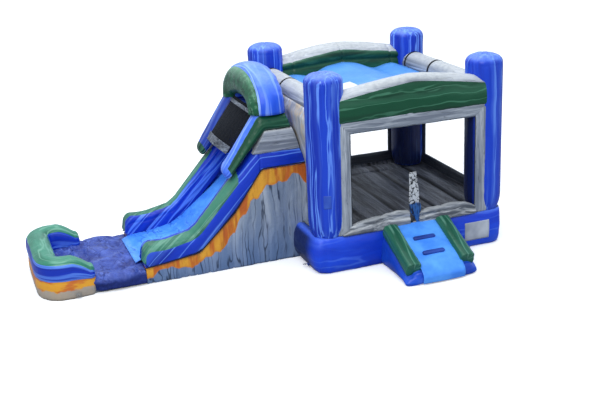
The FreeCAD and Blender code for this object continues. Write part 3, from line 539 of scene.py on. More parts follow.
def drip_print():
    """Grey wood under a curtain of orange and gold drips; the flow map's V is the depth below the top seam."""
    g = Graph("drip_print")
    stone = g.scaled(g.adrift(g.place, 1.3, 0.22), (5.0, 5.0, 0.30))
    grey = g.mix(g.ease(g.noise(stone, 0.8, 4.0, 0.6), 0.34, 0.64), srgb(124, 138, 158), srgb(170, 179, 190))
    grey = g.mix(g.fall(g.axis(g.place, 2), 0.0, 1.3, 0.70), grey, srgb(84, 116, 166))
    strand = g.fall(g.gap(g.noise(stone, 1.5, 1.0), 0.5), 0.004, 0.040)
    patchy = g.ease(g.cells((2.4, 2.4, 1.0)), 0.38, 0.52, 0.15, 1.0)
    grey = g.mix(g.times(strand, patchy, 0.85), grey, srgb(36, 48, 68))
    depth, across = g.axis(g.flow(), 1), g.axis(g.place, 0)
    lobes = g.ease(g.noise(g.node("ShaderNodeCombineXYZ", {0: across}), 2.6, 1.0), 0.30, 0.66)
    reach = g.times(g.math("ADD", g.times(lobes, 0.26), 0.20), g.ease(across, -4.6, -3.6, 0.50, 1.0))
    ragged = g.times(g.math("SUBTRACT", g.noise(g.place, 5.0), 0.5), 0.14)
    below = g.math("SUBTRACT", g.math("ADD", depth, ragged), reach)
    drips = g.mix(g.ease(g.cells((6.0, 6.0, 0.9), 3.0), 0.40, 0.60), srgb(190, 96, 34), srgb(226, 160, 48))
    drips = g.mix(g.times(g.ease(below, -0.06, -0.01), 0.6), drips, srgb(206, 116, 44))
    drips = g.mix(g.ease(g.noise(stone, 1.9, 3.0, 0.6), 0.56, 0.72, 0.0, 0.5), drips, srgb(140, 72, 30))
    g.vinyl(g.mix(g.fall(below, -0.012, 0.012), grey, drips), 0.42, 0.45)


def base_print():
    """The bumper's lower print: a yellow and orange band over sandy grey."""
    g = Graph("base_print")
    ragged = g.times(g.math("SUBTRACT", g.cells((3.0, 3.0, 6.0), 4.0, 0.6), 0.5), 0.26)
    level = g.math("ADD", g.axis(g.place, 2), ragged)
    hot = g.ease(g.cells((2.0, 2.0, 7.0), 3.0, 0.55), 0.44, 0.56)
    band = g.mix(hot, srgb(228, 160, 45), srgb(206, 112, 45))
    sand = g.mix(g.cells((4.0, 4.0, 2.0), 4.0, 0.6), srgb(150, 150, 150), srgb(196, 172, 140))
    g.vinyl(g.mix(g.ease(level, 0.17, 0.20), sand, band), 0.42, 0.3)


def left_wall_print():
    """Weathered grey wood with a faint warm stain near its top."""
    g = Graph("left_wall_print")
    wood = g.ease(g.cells((6.0, 6.0, 0.5), 4.0, 0.65), 0.35, 0.65)
    blots = g.ease(g.noise(g.scaled(g.place, (3.0, 3.0, 1.2)), 2.0, 4.0, 0.7), 0.48, 0.62)
    stain = g.times(blots, g.ease(g.axis(g.place, 2), 2.0, 2.6, 0.0, 0.62))
    colour = g.mix(wood, srgb(150, 154, 160), srgb(204, 206, 208))
    g.vinyl(g.mix(stain, colour, srgb(202, 176, 130)), 0.45, 0.2)


def door_print():
    """Pale grey strip with short dark squiggles down its middle and a blue foot."""
    g = Graph("door_strip_print")
    pale = g.mix(g.cells((9.0, 9.0, 3.0), 4.0, 0.6), srgb(150, 155, 160), srgb(222, 222, 220))
    pale = g.mix(g.ease(g.cells((17.0, 1.0, 13.0), 1.5, 0.5, 1.4), 0.545, 0.575), pale, srgb(28, 30, 36))
    blue = g.mix(g.noise(g.place, 14.0, 3.0), srgb(18, 56, 112), srgb(52, 110, 176))
    blue = g.mix(g.ease(g.cells((26.0, 4.0, 5.0), 3.0), 0.50, 0.58), blue, srgb(10, 18, 40))
    ragged = g.times(g.math("SUBTRACT", g.noise(g.place, 12.0), 0.5), 0.2)
    split = g.ease(g.math("ADD", g.axis(g.place, 2), ragged), 1.13, 1.19)
    g.vinyl(g.mix(split, blue, pale), 0.4, 0.5)


def mat_cloth():
    """Loose landing mat: worn periwinkle over navy."""
    g = Graph("mat_vinyl")
    cloud = g.ease(g.noise(g.place, 3.2, 5.0, 0.65, 0.5), 0.3, 0.7)
    colour = g.mix(cloud, srgb(40, 58, 140), srgb(80, 104, 190))
    # painted shade in the creases and painted highlight on their lips
    colour = painted_crease_shading(g, colour, srgb(24, 38, 110), srgb(122, 144, 216), (3.4, 2.6, 3.4), 0.75)
    g.vinyl(g.mix(g.fall(g.axis(g.place, 2), 0.16, 0.36, 0.9), colour, srgb(14, 34, 108)), 0.45, 0.9)


def simple(name, colour, rough, metal=0.0):
    """A hard material with slight changes of tone and fine wear."""
    g = Graph(name)
    shade = g.mix(g.noise(g.place, 30.0, 4.0, 0.6), tuple(c * 0.7 for c in colour), colour)
    worn = g.ease(g.noise(g.place, 80.0, 3.0, 0.6), 0.3, 0.7, rough - 0.08, rough + 0.1)
    g.finish(shade, worn, g.bump(g.noise(g.place, 260.0), 0.1, 0.001), metal=metal)


def tab_cloth():
    """Anchor tabs in the colour of what they are sewn to."""
    g = Graph("tab_webbing")
    weave = g.wave(400.0, "DIAGONAL")
    colour = g.mix(g.ease(g.axis(g.place, 0), -5.5, -5.3), srgb(150, 144, 132), srgb(30, 62, 160))
    g.finish(g.mix(g.times(weave, 0.3), colour, srgb(90, 100, 130)), 0.9, g.bump(weave, 0.4, 0.001))


def woven(name, colour):
    """Webbing or netting cord with a plain weave."""
    g = Graph(name)
    weave = g.wave(400.0, "DIAGONAL")
    g.finish(g.mix(g.times(weave, 0.5), colour, tuple(c * 1.6 for c in colour)), 0.9, g.bump(weave, 0.4, 0.001))


STREAK = 6.5       # changes per metre across a streak
LONG = 0.22        # and along it
BLUE = (srgb(16, 56, 190), srgb(10, 40, 158), srgb(105, 155, 250))
GREEN = (srgb(14, 74, 48), srgb(8, 52, 34), srgb(88, 150, 118))
GREY = (srgb(166, 172, 180), srgb(112, 119, 131), srgb(206, 211, 216))
# PALE and SKY are the colours of the painted top light on the grey and blue pieces
PALE = srgb(200, 203, 202)
SKY = srgb(140, 182, 255)

# colours are the base, its dark bands and its light streaks; the numbers are changes per metre
for name, colours, stretch, more in (
        ("blue_vinyl_level_x", BLUE, (LONG, STREAK, STREAK), {}),
        ("green_vinyl_x", GREEN, (LONG, STREAK, STREAK),
         dict(streaks=0.7, drift=0.25, top=srgb(96, 150, 124), top_light=0.36)),
        ("grey_vinyl_x", GREY, (LONG, STREAK, STREAK), dict(grain=0.9, top=PALE, top_light=0.75, rough=0.5)),
        ("grey_vinyl_y", GREY, (STREAK, LONG, STREAK), dict(grain=0.9, top=PALE, top_light=0.75, rough=0.5)),
        ("mesh_trim_vinyl", (srgb(92, 100, 112), srgb(36, 40, 50), srgb(150, 158, 168)), (STREAK, LONG, STREAK),
         dict(grain=1.0, drift=0.5)),
        # the sill's dense dark grain lines paint the shade in its crumpled creases
        ("sill_vinyl", (srgb(160, 164, 170), srgb(84, 89, 98), srgb(206, 208, 210)), (LONG, STREAK, STREAK),
         dict(grain=1.0, drift=0.35, top=PALE, top_light=0.6, rough=0.5)),
        ("column_vinyl", (srgb(20, 64, 196), srgb(12, 46, 168), srgb(110, 158, 250)), (7.5, 7.5, 0.20),
         dict(top=SKY, top_light=0.40, streaks=1.1)),
        ("skirt_vinyl", (srgb(24, 74, 220), srgb(16, 58, 196), srgb(80, 125, 238)), (0.5, 0.5, 3.2),
         dict(streaks=0.75, drift=0.3, top=srgb(118, 156, 242), top_light=0.38)),
        ("ramp_vinyl", (srgb(26, 82, 205), srgb(18, 62, 175), srgb(90, 135, 235)), (2.0, 2.0, 1.2),
         dict(streaks=0.6, drift=0.3))):
    marble(name, colours, stretch, **more)

for name, colours, across, along, more in (
        ("green_vinyl_flow", GREEN, STREAK, LONG, dict(streaks=0.6)),
        ("slide_side_vinyl", BLUE, 5.0, LONG, {}),
        ("bumper_blue_vinyl", BLUE, 5.0, LONG, {}),
        ("grey_border_vinyl", GREY, 9.0, 0.5, dict(grain=0.75, streaks=0.6)),
        ("bolster_vinyl", (srgb(40, 106, 83), srgb(22, 80, 60), srgb(132, 188, 166)), 5.0, 0.4, dict(streaks=0.5)),
        ("slide_green_vinyl", (srgb(58, 124, 100), srgb(36, 96, 76), srgb(125, 178, 155)), 6.0, 0.35,
         dict(streaks=0.6)),
        ("hood_blue_vinyl", (srgb(48, 100, 226), srgb(30, 76, 208), srgb(170, 205, 255)), 5.0, 0.30,
         dict(top=srgb(132, 174, 250), top_light=0.45)),
        ("hood_green_vinyl", (srgb(26, 88, 58), srgb(16, 62, 40), srgb(120, 172, 140)), 9.0, 5.0,
         dict(drift=0.3, streaks=0.6, top=srgb(124, 174, 142), top_light=0.7)),
        ("bumper_green_vinyl", (srgb(64, 138, 112), srgb(40, 108, 84), srgb(140, 195, 170)), 5.0, 0.8,
         dict(streaks=0.7)),
        ("upper_wall_blue_vinyl", (srgb(60, 108, 226), srgb(34, 78, 204), srgb(150, 190, 252)), 5.0, LONG,
         dict(top=SKY, top_light=0.5)),
        # the far wall's blue is a darker copy of the near wall's: painted shade on its inner face
        ("far_wall_shaded_blue_vinyl", (srgb(28, 62, 168), srgb(14, 36, 118), srgb(110, 150, 235)), 5.0, LONG, {})):
    marble_flow(name, colours, across, along, **more)

for name, colour, shade, *surface in (
        ("light_blue_vinyl", (94, 170, 255), (66, 138, 240)),
        ("roof_tarp", (88, 154, 230), (76, 142, 220), 0.5),
        ("step_vinyl", (42, 76, 168), (26, 52, 130)),
        ("roof_patch_vinyl", (240, 244, 247), (222, 228, 235), 0.5, 0.1),
        ("rule_patch_vinyl", (196, 201, 208), (150, 156, 168), 0.5, 0.1),
        ("column_patch_vinyl", (60, 98, 190), (34, 66, 170), 0.5, 0.1)):
    plain_vinyl(name, srgb(*colour), srgb(*shade), *surface)

for name, *values in (
        ("plated_steel", (0.55, 0.56, 0.58), 0.32, 1.0),
        ("blower_plastic", srgb(222, 120, 30), 0.45),
        ("motor_paint", (0.03, 0.03, 0.035), 0.4),
        ("guard_wire", (0.02, 0.02, 0.02), 0.4, 0.6),
        ("impeller_plastic", (0.03, 0.03, 0.03), 0.5),
        ("switch_plastic", srgb(190, 30, 25), 0.3),
        ("zip_plastic", (0.015, 0.015, 0.018), 0.55),
        ("cord_rubber", (0.015, 0.015, 0.015), 0.6),
        # near black: the welt's colour also paints the shade along the print seam
        ("seam_piping_and_shade", srgb(16, 24, 52), 0.6)):
    simple(name, *values)

woven("net_cord", (0.012, 0.012, 0.015))
woven("mesh_roof_cord", (0.006, 0.008, 0.013))
woven("webbing", (0.012, 0.012, 0.014))
for paint in (floor_print, drip_print, base_print, door_print, mat_cloth, bed_vinyl, tab_cloth, left_wall_print):
    paint()


# ---------------------------------------------------------------- creases
def seam_creases(run, within, amount, wave, seed):
    """Short gathers that fade away from the seams along a tube."""
    edge = np.minimum(within, 1.0 - within)
    return amount * gathers(run / wave, edge * 3.0, 0.0, seed) * np.exp(-edge / 0.16)


def soft_folds(rings, amount, scale=(3.0, 3.0, 3.0), seed=5):
    return amount * noise(rings, scale, seed, 3)


def end_gathers(run, total, within, panel, amount, reach=0.12, seed=9):
    """Gathers that radiate from both sewn ends of a tube."""
    fade = np.exp(-np.minimum(run, total - run) / reach)
    return amount * gathers((panel + within) * 5.0, 0.0, 0.0, seed, 1) * fade


def relief(seam=0.004, fold=0.004, ends=0.008, wave=0.07, seed=1):
    """The usual mix of seam gathers, soft folds and end gathers."""
    def depth(rings, run, panel, within, total):
        return (seam_creases(run, within, seam, wave, seed) + soft_folds(rings, fold, seed=seed + 3)
                + end_gathers(run, total, within, panel, ends, seed=seed + 6))
    return depth


# ---------------------------------------------------------------- house
SKIRT_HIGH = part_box("base_skirt")[1]
SKIRT_OUT = SKIRT_HIGH.x                 # to the bulge of the base
SKIRT_TOP = SKIRT_HIGH.z
COLUMN_LOW, COLUMN_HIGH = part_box("column_front_right")
COLUMN_AXIS, COLUMN_RADIUS = middle_and_half(COLUMN_LOW.x, COLUMN_HIGH.x)
FRAME_LOW, FRAME_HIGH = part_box("front_frame")
WALL = -FRAME_LOW.y                      # outer plane of the four walls
FRAME_THICK = FRAME_HIGH.y - FRAME_LOW.y
FRAME_TOP = FRAME_HIGH.z
FRAME_HALF = COLUMN_AXIS - 0.06          # the borders tuck behind the columns
NET_LOW, NET_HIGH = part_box("rear_net")
WINDOW_HALF = NET_HIGH.x + 0.005
WINDOW_LOW = NET_LOW.z - 0.005
WINDOW_TOP = NET_HIGH.z + 0.005
BEAM_LOW, BEAM_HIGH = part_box("front_beam")
CORNERS = {"front_left": (-1, -1), "front_right": (1, -1), "rear_left": (-1, 1), "rear_right": (1, 1)}


def make_skirt():
    tuck = 0.11          # from the path to the foot of the outer face
    centre = SKIRT_OUT - tuck
    square = [(x * centre, y * centre, 0.0) for x, y in ((-1, -1), (1, -1), (1, 1), (-1, 1))]
    corners = [(-tuck, 0.0), (0.012, 0.0), (0.035, SKIRT_TOP - 0.01), (-tuck, SKIRT_TOP - 0.05)]

    def depth(rings, run, panel, within, total):
        x, y = rings[..., 0], rings[..., 1]
        outer = (panel == 1) * np.sin(np.pi * np.clip(within, 0, 1)) ** 0.5
        corner = np.exp(-((np.abs(x) - centre) ** 2 + (np.abs(y) - centre) ** 2) / 0.12)
        puckers = gathers(run / 0.07, within, 0.0, 22)
        fuller = 0.085 * np.clip((-x - 1.9) / 0.1, 0, 1) * (y < 0.0) - 0.045 * np.clip((x - 1.9) / 0.1, 0, 1)
        folds = soft_folds(rings, 0.016, (1.8, 1.8, 5.0), 21) + 0.012 * corner * puckers
        return outer * (folds + fuller) + (panel == 1) * near_seam(within, 0.12) * puckers * 0.007

    skirt = sewn_tube("base_skirt_blue", rounded_path(square, 0.22, 0.03, closed=True),
                      steady(corners, [0.0, 0.085, 0.0, 0.0]), (3, 34, 4, 3), ["skirt_vinyl"], closed=True,
                      relief=depth, fullness=0.62)
    place(skirt, "blue_vinyl", "base_skirt")


def make_column(corner):
    """An upright tube with a seam ring under its dome and a gathered foot."""
    side, end = CORNERS[corner]
    foot, top = COLUMN_LOW.z - 0.012, COLUMN_HIGH.z + 0.012
    dome, sides, full = 0.20, 10, COLUMN_RADIUS + 0.018
    out = 0.035 if corner == "front_left" else 0.0
    rounded = top - dome + dome * np.sin(np.linspace(0.0, 0.5 * math.pi, 15))[:-1]
    heights = np.concatenate([np.arange(foot, top - dome, 0.03), rounded])
    path = spread(side * (COLUMN_AXIS + out), end * (COLUMN_AXIS + out * 0.4), heights)

    def sections(share, distance):
        z = foot + distance
        over = max(z - (top - dome), 0.0) / dome
        gathered_foot = 1.0 - 0.16 * math.exp(-((z - foot) / 0.13) ** 1.3)
        return circle(full * (1.0 - over ** 2.5) ** (1 / 2.5) * gathered_foot, sides)

    def depth(rings, run, panel, within, total):
        ring = total - 0.20
        turn = (panel + within) / sides * 34.0
        puckers = 0.016 * gathers(turn, run * 2.0, 0.0, 31 + side + 2 * end)
        puckers = puckers * (np.exp(-run / 0.10) + np.exp(-np.abs(run - ring) / 0.08))
        gore = -0.009 * near_seam(within, 0.10) * smooth((run - ring) / 0.05)
        upright = 0.007 * gathers(turn * 0.35, run * 0.4, 0.0, 41 + side + 2 * end)
        return puckers + gore + upright - 0.004 * bell(run - ring, 0.016) + soft_folds(rings, 0.004, (3, 3, 1.2), 43)

    column = sewn_tube("column_" + corner + "_blue", path, sections, (8,) * sides, ["column_vinyl"], up=(0, 1, 0),
                       caps=(0.01, 0.008), relief=depth, fullness=1.0)
    place(column, "blue_vinyl", "column_" + corner)


def crown(values, seams):
    """How far a crowned strip stands up between each pair of seams, from 0 to 1."""
    edges = np.array(seams)
    k = np.clip(np.searchsorted(edges, values, side="right") - 1, 0, len(edges) - 2)
    t = (values - edges[k]) / (edges[k + 1] - edges[k])
    return np.sqrt(np.clip(np.sin(np.pi * t), 0, 1))


def make_floor():
    """Sewn lanes along Y inside a border lane."""
    low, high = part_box("bounce_floor")
    crowned, lip = 0.062, 0.09
    seams_x = [low.x, *LANE_SEAMS, high.x]
    seams_y = [low.y, high.y - 0.46, high.y]
    x = [np.linspace(a, b, 16, endpoint=False) for a, b in zip(seams_x, seams_x[1:])]
    y = [np.linspace(seams_y[0], seams_y[1], 90, endpoint=False), np.linspace(seams_y[1], seams_y[2], 15)]
    gx, gy = np.meshgrid(np.concatenate([*x, [high.x]]), np.concatenate(y))
    lanes = crown(gx, seams_x) * np.clip((seams_y[1] - gy) / 0.2, 0, 1) ** 0.4
    border = crown(gy, seams_y) * crown(gx, [low.x, high.x])
    ripple = noise(spread(gx, gy, 0.0), (4.0, 1.4, 1.0), 51, 3) * 0.007
    gz = high.z - 0.050 + np.where(gy <= seams_y[1], lanes, border) * crowned + ripple
    around = np.pad(spread(gx, gy, gz), ((1, 1), (1, 1), (0, 0)), mode="edge")
    around[0, :, 1] -= lip
    around[-1, :, 1] += lip
    around[:, 0, 0] -= lip
    around[:, -1, 0] += lip
    around[[0, -1], :, 2] = SKIRT_TOP + 0.012
    around[:, [0, -1], 2] = SKIRT_TOP + 0.012
    place(sheet("bounce_floor_lanes", around, 0.012, "floor_boards"), "floor_vinyl", "bounce_floor")


def beam_lines(x, way):
    """Heights at a place along a beam: its colour seam outside, its ridge, its inner seam and its inner crease."""
    share = abs(x) / BEAM_HIGH.x
    if way < 0:
        return 3.612 - 0.205 * share ** 1.2, 3.725 - 0.195 * share ** 1.35, 3.600 - 0.19 * share, 3.30
    return 3.600 - 0.20 * share ** 1.3, 3.748 - 0.245 * share ** 1.6, 3.628 - 0.205 * share, 3.405 - 0.10 * share


def make_beam(name, way):
    """A peaked tube over one wall; way is -1 at the front and 1 at the rear."""
    half, wide = COLUMN_AXIS - 0.085, 0.262
    middle = WALL - 0.25
    low = BEAM_LOW.z - 0.006
    turned = (0, 1, 2, 3, 4, 5) if way < 0 else (0, 5, 4, 3, 2, 1)      # the rear beam is turned round

    def sections(share, distance):
        x = -half + 2 * half * share
        seam, ridge, inner_seam, crease = beam_lines(x, way)
        points = [(-wide, low), (wide, low), (wide - 0.008, seam), (0.05, ridge), (0.01 - wide, inner_seam),
                  (0.005 - wide, crease)]
        if way > 0:
            points = [(-points[k][0], points[k][1]) for k in (1, 0, 5, 4, 3, 2)]
        blunt = min(1.0, 0.15 + (half - abs(x)) / 0.35)
        bulges = (0.012, 0.030, 0.035, 0.03, 0.045, 0.045)
        return points, [bulges[k] * blunt for k in turned]

    def depth(rings, run, panel, within, total):
        x = rings[..., 0]
        sagging = rings + spread(0.0, 0.0, 0.10 * np.cos(x * 2.2))
        result = 0.013 * noise(sagging, (0.8, 5.0, 7.5), 61 + way, 3) + soft_folds(rings, 0.005, (2.5, 3.0, 3.0), 64)
        result = result + 0.007 * gathers(x / 0.10, within, panel, 63) * near_seam(within, 0.15)
        for seam_x in (-1.15, 0.02, 1.20):
            result = result - 0.030 * (rings[..., 1] * way < middle) * bell(x - seam_x, 0.022)
        return result * (1 - 0.6 * np.exp(-np.minimum(run, total - run) / 0.12))

    beam = sewn_tube(name + "_tube", spread(np.linspace(-half, half, 110), way * middle, 0.0), sections,
                     [(6, 16, 8, 8, 10, 10)[k] for k in turned], ["green_vinyl_x", "grey_vinyl_x"],
                     [(0, 0, 1, 1, 0, 0)[k] for k in turned], caps=(0.006, 0.006), relief=depth, fullness=0.7)
    place(beam, "green_vinyl", name)


STRAP_LOW, STRAP_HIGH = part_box("roof_straps")
STRAPS = (STRAP_LOW.y + 0.025, STRAP_HIGH.y - 0.025)


def make_straps():
    """Webbing bands round the two side tubes."""
    low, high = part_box("left_rail")
    for side, name in ((-1, "left"), (1, "right")):
        for k, y in enumerate(STRAPS):
            path = spread(side * COLUMN_AXIS, y + np.array((-0.025, -0.01, 0.01, 0.025)), (low.z + high.z) / 2)
            band = sewn_tube(f"roof_strap_{name}_{k + 1}", path, steady(*circle(0.249, 12, 0.008)), (4,) * 12,
                             ["webbing"], fullness=1.0)
            place(band, "webbing", *(["roof_straps"] if side < 0 and k == 0 else []))


def make_rail(name, side):
    low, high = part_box(name)
    sides = 6
    half = COLUMN_AXIS - 0.27

    def depth(rings, run, panel, within, total):
        puckers = gathers((panel + within) / sides * 26.0, run * 1.5, 0.0, 71 + side)
        ends = np.exp(-np.minimum(run, total - run) / 0.12)
        result = 0.012 * puckers * ends + soft_folds(rings, 0.005, (4, 1.2, 4), 73)
        for strap in STRAPS:
            result = result - 0.012 * bell(rings[..., 1] - strap, 0.03)
        return result

    rail = sewn_tube(name + "_tube", spread(side * COLUMN_AXIS, np.linspace(-half, half, 90), (low.z + high.z) / 2),
                     steady(*circle(0.245, sides)), (10,) * sides, ["grey_vinyl_y"], caps=(0.06, 0.06), relief=depth,
                     fullness=1.0)
    place(rail, "grey_vinyl", name)


def mitre(vertex, before, after):
    """The slanting cut at a corner of a border, as long as the cut really is."""
    into, out = unit(vertex - before), unit(after - vertex)
    square = np.array([into[1], -into[0]])
    bisector = unit(square + np.array([out[1], -out[0]]))
    return bisector / max(np.dot(bisector, square), 0.3)


def make_border(name, along, outside, plane, corners, half_wide, closed, seed):
    """A puffy border with mitred corners round an opening; corners are (distance along the wall, height)."""
    along, outside = np.array(along), np.array(outside)
    corners = [np.array(corner) for corner in corners]
    count = len(corners)
    legs = count if closed else count - 1
    t = np.linspace(-1, 1, 9)
    face = np.sqrt(np.clip(1 - np.abs(t) ** 3.0, 0, 1))
    profile = np.concatenate([np.stack([t, face], -1), np.stack([t[::-1], -face], -1)[1:-1]])
    rings, run, distance = [], [], 0.0
    for leg in range(legs):
        start, end = corners[leg], corners[(leg + 1) % count]
        long = np.linalg.norm(end - start)
        direction = (end - start) / long
        first = last = across = np.array([direction[1], -direction[0]])
        if closed or leg > 0:
            first = mitre(start, corners[leg - 1], end)
        if closed or leg < legs - 1:
            last = mitre(end, start, corners[(leg + 2) % count])
        stations = max(8, int(long / 0.04))
        for k in range(stations + (0 if closed or leg < legs - 1 else 1)):
            share = k / stations
            from_start, to_end = share * long, (1 - share) * long
            # each station lies between the mitre at its corner and a square cut
            to_first = smooth(1 - from_start / (half_wide * 1.6))
            to_last = smooth(1 - to_end / (half_wide * 1.6))
            side = across * (1 - to_first - to_last) + first * to_first + last * to_last
            pinch = 1.0 - 0.45 * bell(from_start, 0.03) - 0.45 * bell(to_end, 0.03)
            flat = start + (end - start) * share + profile[:, :1] * half_wide * side
            off = plane + profile[:, 1:] * FRAME_THICK / 2 * pinch
            rings.append(flat[:, :1] * along + flat[:, 1:] * np.array(UP) + off * outside)
            run.append(distance + from_start)
        distance += long

    def depth(rings, *rest):
        return noise(rings, (5.0, 5.0, 5.0), seed, 3) * 0.006

    border = skin(name + "_border", np.array(rings), np.array(run), (len(profile),), ["grey_border_vinyl"],
                  closed=closed, caps=(0.005, 0.005), relief=depth)
    place(border, "grey_vinyl", name + "_frame")


def make_frames():
    middle, half = middle_and_half(WINDOW_HALF, FRAME_HALF)
    top = WINDOW_TOP + (FRAME_TOP - WINDOW_TOP) / 2
    bottom = WINDOW_LOW - half
    plane = WALL - FRAME_THICK / 2
    arch = [(middle, SKIRT_TOP), (middle, top + 0.01), (-middle, top + 0.01), (-middle, SKIRT_TOP)]
    loop = [(middle, bottom), (middle, top), (-middle, top), (-middle, bottom)]
    make_border("front", (1, 0, 0), (0, -1, 0), plane + 0.012, arch, half + 0.008, False, 81)
    make_border("rear", (-1, 0, 0), (0, 1, 0), plane, loop, half, True, 82)
    make_border("right", (0, 1, 0), (1, 0, 0), plane, loop, half, True, 83)


def make_sill(name, low_x, high_x, places, tops):
    """Half of the soft sill: a tube that rises and sinks along the wall; places and tops give its height."""
    path = spread(np.linspace(low_x, high_x, int((high_x - low_x) / 0.03)), -WALL + 0.040, SKIRT_TOP - 0.015)

    def sections(share, distance):
        top = np.interp(low_x + (high_x - low_x) * share, places, tops) - SKIRT_TOP
        corners = [(-0.07, 0.0), (0.075, 0.0), (0.055, top * 0.55), (0.0, top - 0.03), (-0.06, top * 0.6)]
        return corners, [0.0, 0.03, 0.035, 0.035, 0.02]

    def depth(rings, run, panel, within, total):
        slant = rings + spread(rings[..., 2] * 1.6, 0.0, rings[..., 0] * 0.12)
        folds = 0.024 * noise(slant, (2.6, 5.0, 9.0), 91, 3)
        ridges = 0.034 * (0.25 - np.abs(noise(slant, (3.4, 4.0, 14.0), 92, 3)))
        free = np.clip((rings[..., 2] - SKIRT_TOP) / 0.1, 0, 1)
        return (folds + ridges) * free + end_gathers(run, total, within, panel, 0.012, 0.1, 93)

    sill = sewn_tube(name + "_pad", path, sections, (4, 9, 9, 9, 8), ["sill_vinyl"], caps=(0.03, 0.03),
                     relief=depth, fullness=0.8)
    place(sill, "grey_vinyl", name)


def make_sills():
    left_low, left_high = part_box("front_sill_left")
    right_low, right_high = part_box("front_sill_right")
    crest = left_high.z
    tucked = left_low.x - 0.20          # behind the column
    make_sill("front_sill_left", tucked, left_high.x, (tucked, left_low.x - 0.04, -0.9, -0.37, left_high.x),
              (SKIRT_TOP + 0.05, crest - 0.10, crest, crest + 0.05, crest + 0.02))
    make_sill("front_sill_right", right_low.x, right_high.x, (right_low.x, 0.35, 0.85, 1.1, right_high.x),
              (crest - 0.03, crest - 0.01, crest + 0.03, crest, crest - 0.12))


# ---------------------------------------------------------------- netting
def cords(name, lines, radius, material):
    """Thin three-sided cords along many straight lines, as one piece."""
    points, faces = [], []
    for start, end in lines:
        start, end = np.asarray(start, float), np.asarray(end, float)
        along = unit(end - start)
        side = unit(np.cross(along, (0.31, 0.87, 0.37)))
        top = np.cross(side, along)
        base = len(points)
        ring = [radius * (math.cos(turn) * side + math.sin(turn) * top)
                for turn in (0.0, 2 * math.pi / 3, 4 * math.pi / 3)]
        points += [centre + off for centre in (start, end) for off in ring]
        faces += [(base + k, base + n, base + 3 + n, base + 3 + k) for k, n in ((0, 1), (1, 2), (2, 0))]
        faces += [(base, base + 2, base + 1), (base + 3, base + 4, base + 5)]
    return outward(new_object(name, points, faces, None, None, [material]))


def clipped(corners, direction, pitch):
    """Where evenly spaced lines along one direction cross a convex outline."""
    corners = np.asarray(corners, float)
    across = np.array([-direction[1], direction[0]])
    offsets = corners @ across
    lines = []
    for offset in np.arange(offsets.min() + pitch / 2, offsets.max(), pitch):
        hits = []
        for a, b in zip(corners, np.roll(corners, -1, 0)):
            da, db = a @ across - offset, b @ across - offset
            if (da < 0) != (db < 0):
                hits.append(a + (b - a) * da / (da - db))
        if len(hits) == 2:
            lines.append(hits)
    return lines


NET_PITCH = 0.036
LEAF_PITCH = 0.03
NET_CORD = 0.0008


def net(name, node, outlines, to_space, body=HOUSE, pitch=NET_PITCH):
    """Square netting over flat outlines, with real cords."""
    lines = [(to_space(*a), to_space(*b)) for outline in outlines for direction in ((1.0, 0.0), (0.0, 1.0))
             for a, b in clipped(outline, direction, pitch)]
    place(cords(name, lines, NET_CORD, "net_cord"), "netting", node, body=body)


def make_nets():
    edge, top = WINDOW_HALF + 0.02, WINDOW_TOP + 0.02
    window = [(-edge, WINDOW_LOW - 0.02), (edge, WINDOW_LOW - 0.02), (edge, top), (-edge, top)]
    plane = NET_HIGH.y
    leaf_low, leaf_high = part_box("door_net_left")
    slit_low, slit_top = leaf_low.z, leaf_high.z
    slit_half = -leaf_low.x
    sill = slit_low - 0.10

    def in_front(a, z):
        return a, 0.004 - plane, z

    halves = [[(side * edge, sill), (side * (slit_half + 0.06), sill), (side * (slit_half + 0.012), slit_low),
               (side * 0.004, slit_top + 0.02), (side * 0.004, top), (side * edge, top)] for side in (-1, 1)]
    net("rear_netting", "rear_net", [window], lambda a, z: (a, plane, z))
    net("right_netting", "right_net", [window], lambda a, z: (plane, a, z))
    net("front_netting", "front_net", halves, in_front)
    for side, name in ((-1, "left"), (1, "right")):
        leaf = [(side * 0.008, slit_low), (side * 0.008, slit_top), (side * slit_half, slit_low)]
        net(f"door_leaf_{name}_netting", f"door_net_{name}", [leaf], in_front, f"{name}_door_leaf", LEAF_PITCH)


def make_door_strip():
    """The tapered vinyl strip that hangs over the slit."""
    low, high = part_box("door_flap")
    share, across = np.linspace(0, 1, 60)[:, None], np.linspace(0, 1, 13)
    tip = smooth((share - 0.70) / 0.30)
    left = low.x + 0.005 + 0.150 * tip
    right = 0.025 + (high.x - 0.025) * np.minimum(share * 1.35, 1.0) - 0.055 * tip
    curl = 0.012 * np.sin(np.pi * across) + 0.006 * np.sin(share * 9.0)
    grid = spread(left + (right - left) * across, (low.y + high.y) / 2 - curl + 0.004,
                  high.z + (low.z - high.z) * share)
    grid[..., 1] += noise(grid, (14.0, 1.0, 9.0), 101, 2) * 0.006
    place(sheet("door_strip", grid, 0.004, "door_strip_print"), "door_vinyl", "door_flap", body="entry_flap")


def make_roof():
    low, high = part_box("roof_canopy")
    gx, gy = np.meshgrid(np.linspace(low.x - 0.03, high.x + 0.03, 80), np.linspace(low.y - 0.02, high.y + 0.02, 70))
    share = np.abs(gx) / high.x
    ridge = high.z - 0.01 - (high.z - low.z - 0.015) * share
    waves = noise(spread(gx, gy, 0.0), (1.5, 0.9, 1.0), 111, 3)
    sag = 0.105 * bell(np.abs(gx) - 0.76, 0.26) + 0.05 * smooth((share - 0.85) / 0.15)
    gz = ridge - smooth((gy + 0.3) / 1.2) * sag + 0.03 * waves
    place(sheet("roof_tarp_sheet", spread(gx, gy, gz), 0.005, "roof_tarp"), "roof_vinyl", "roof_canopy")


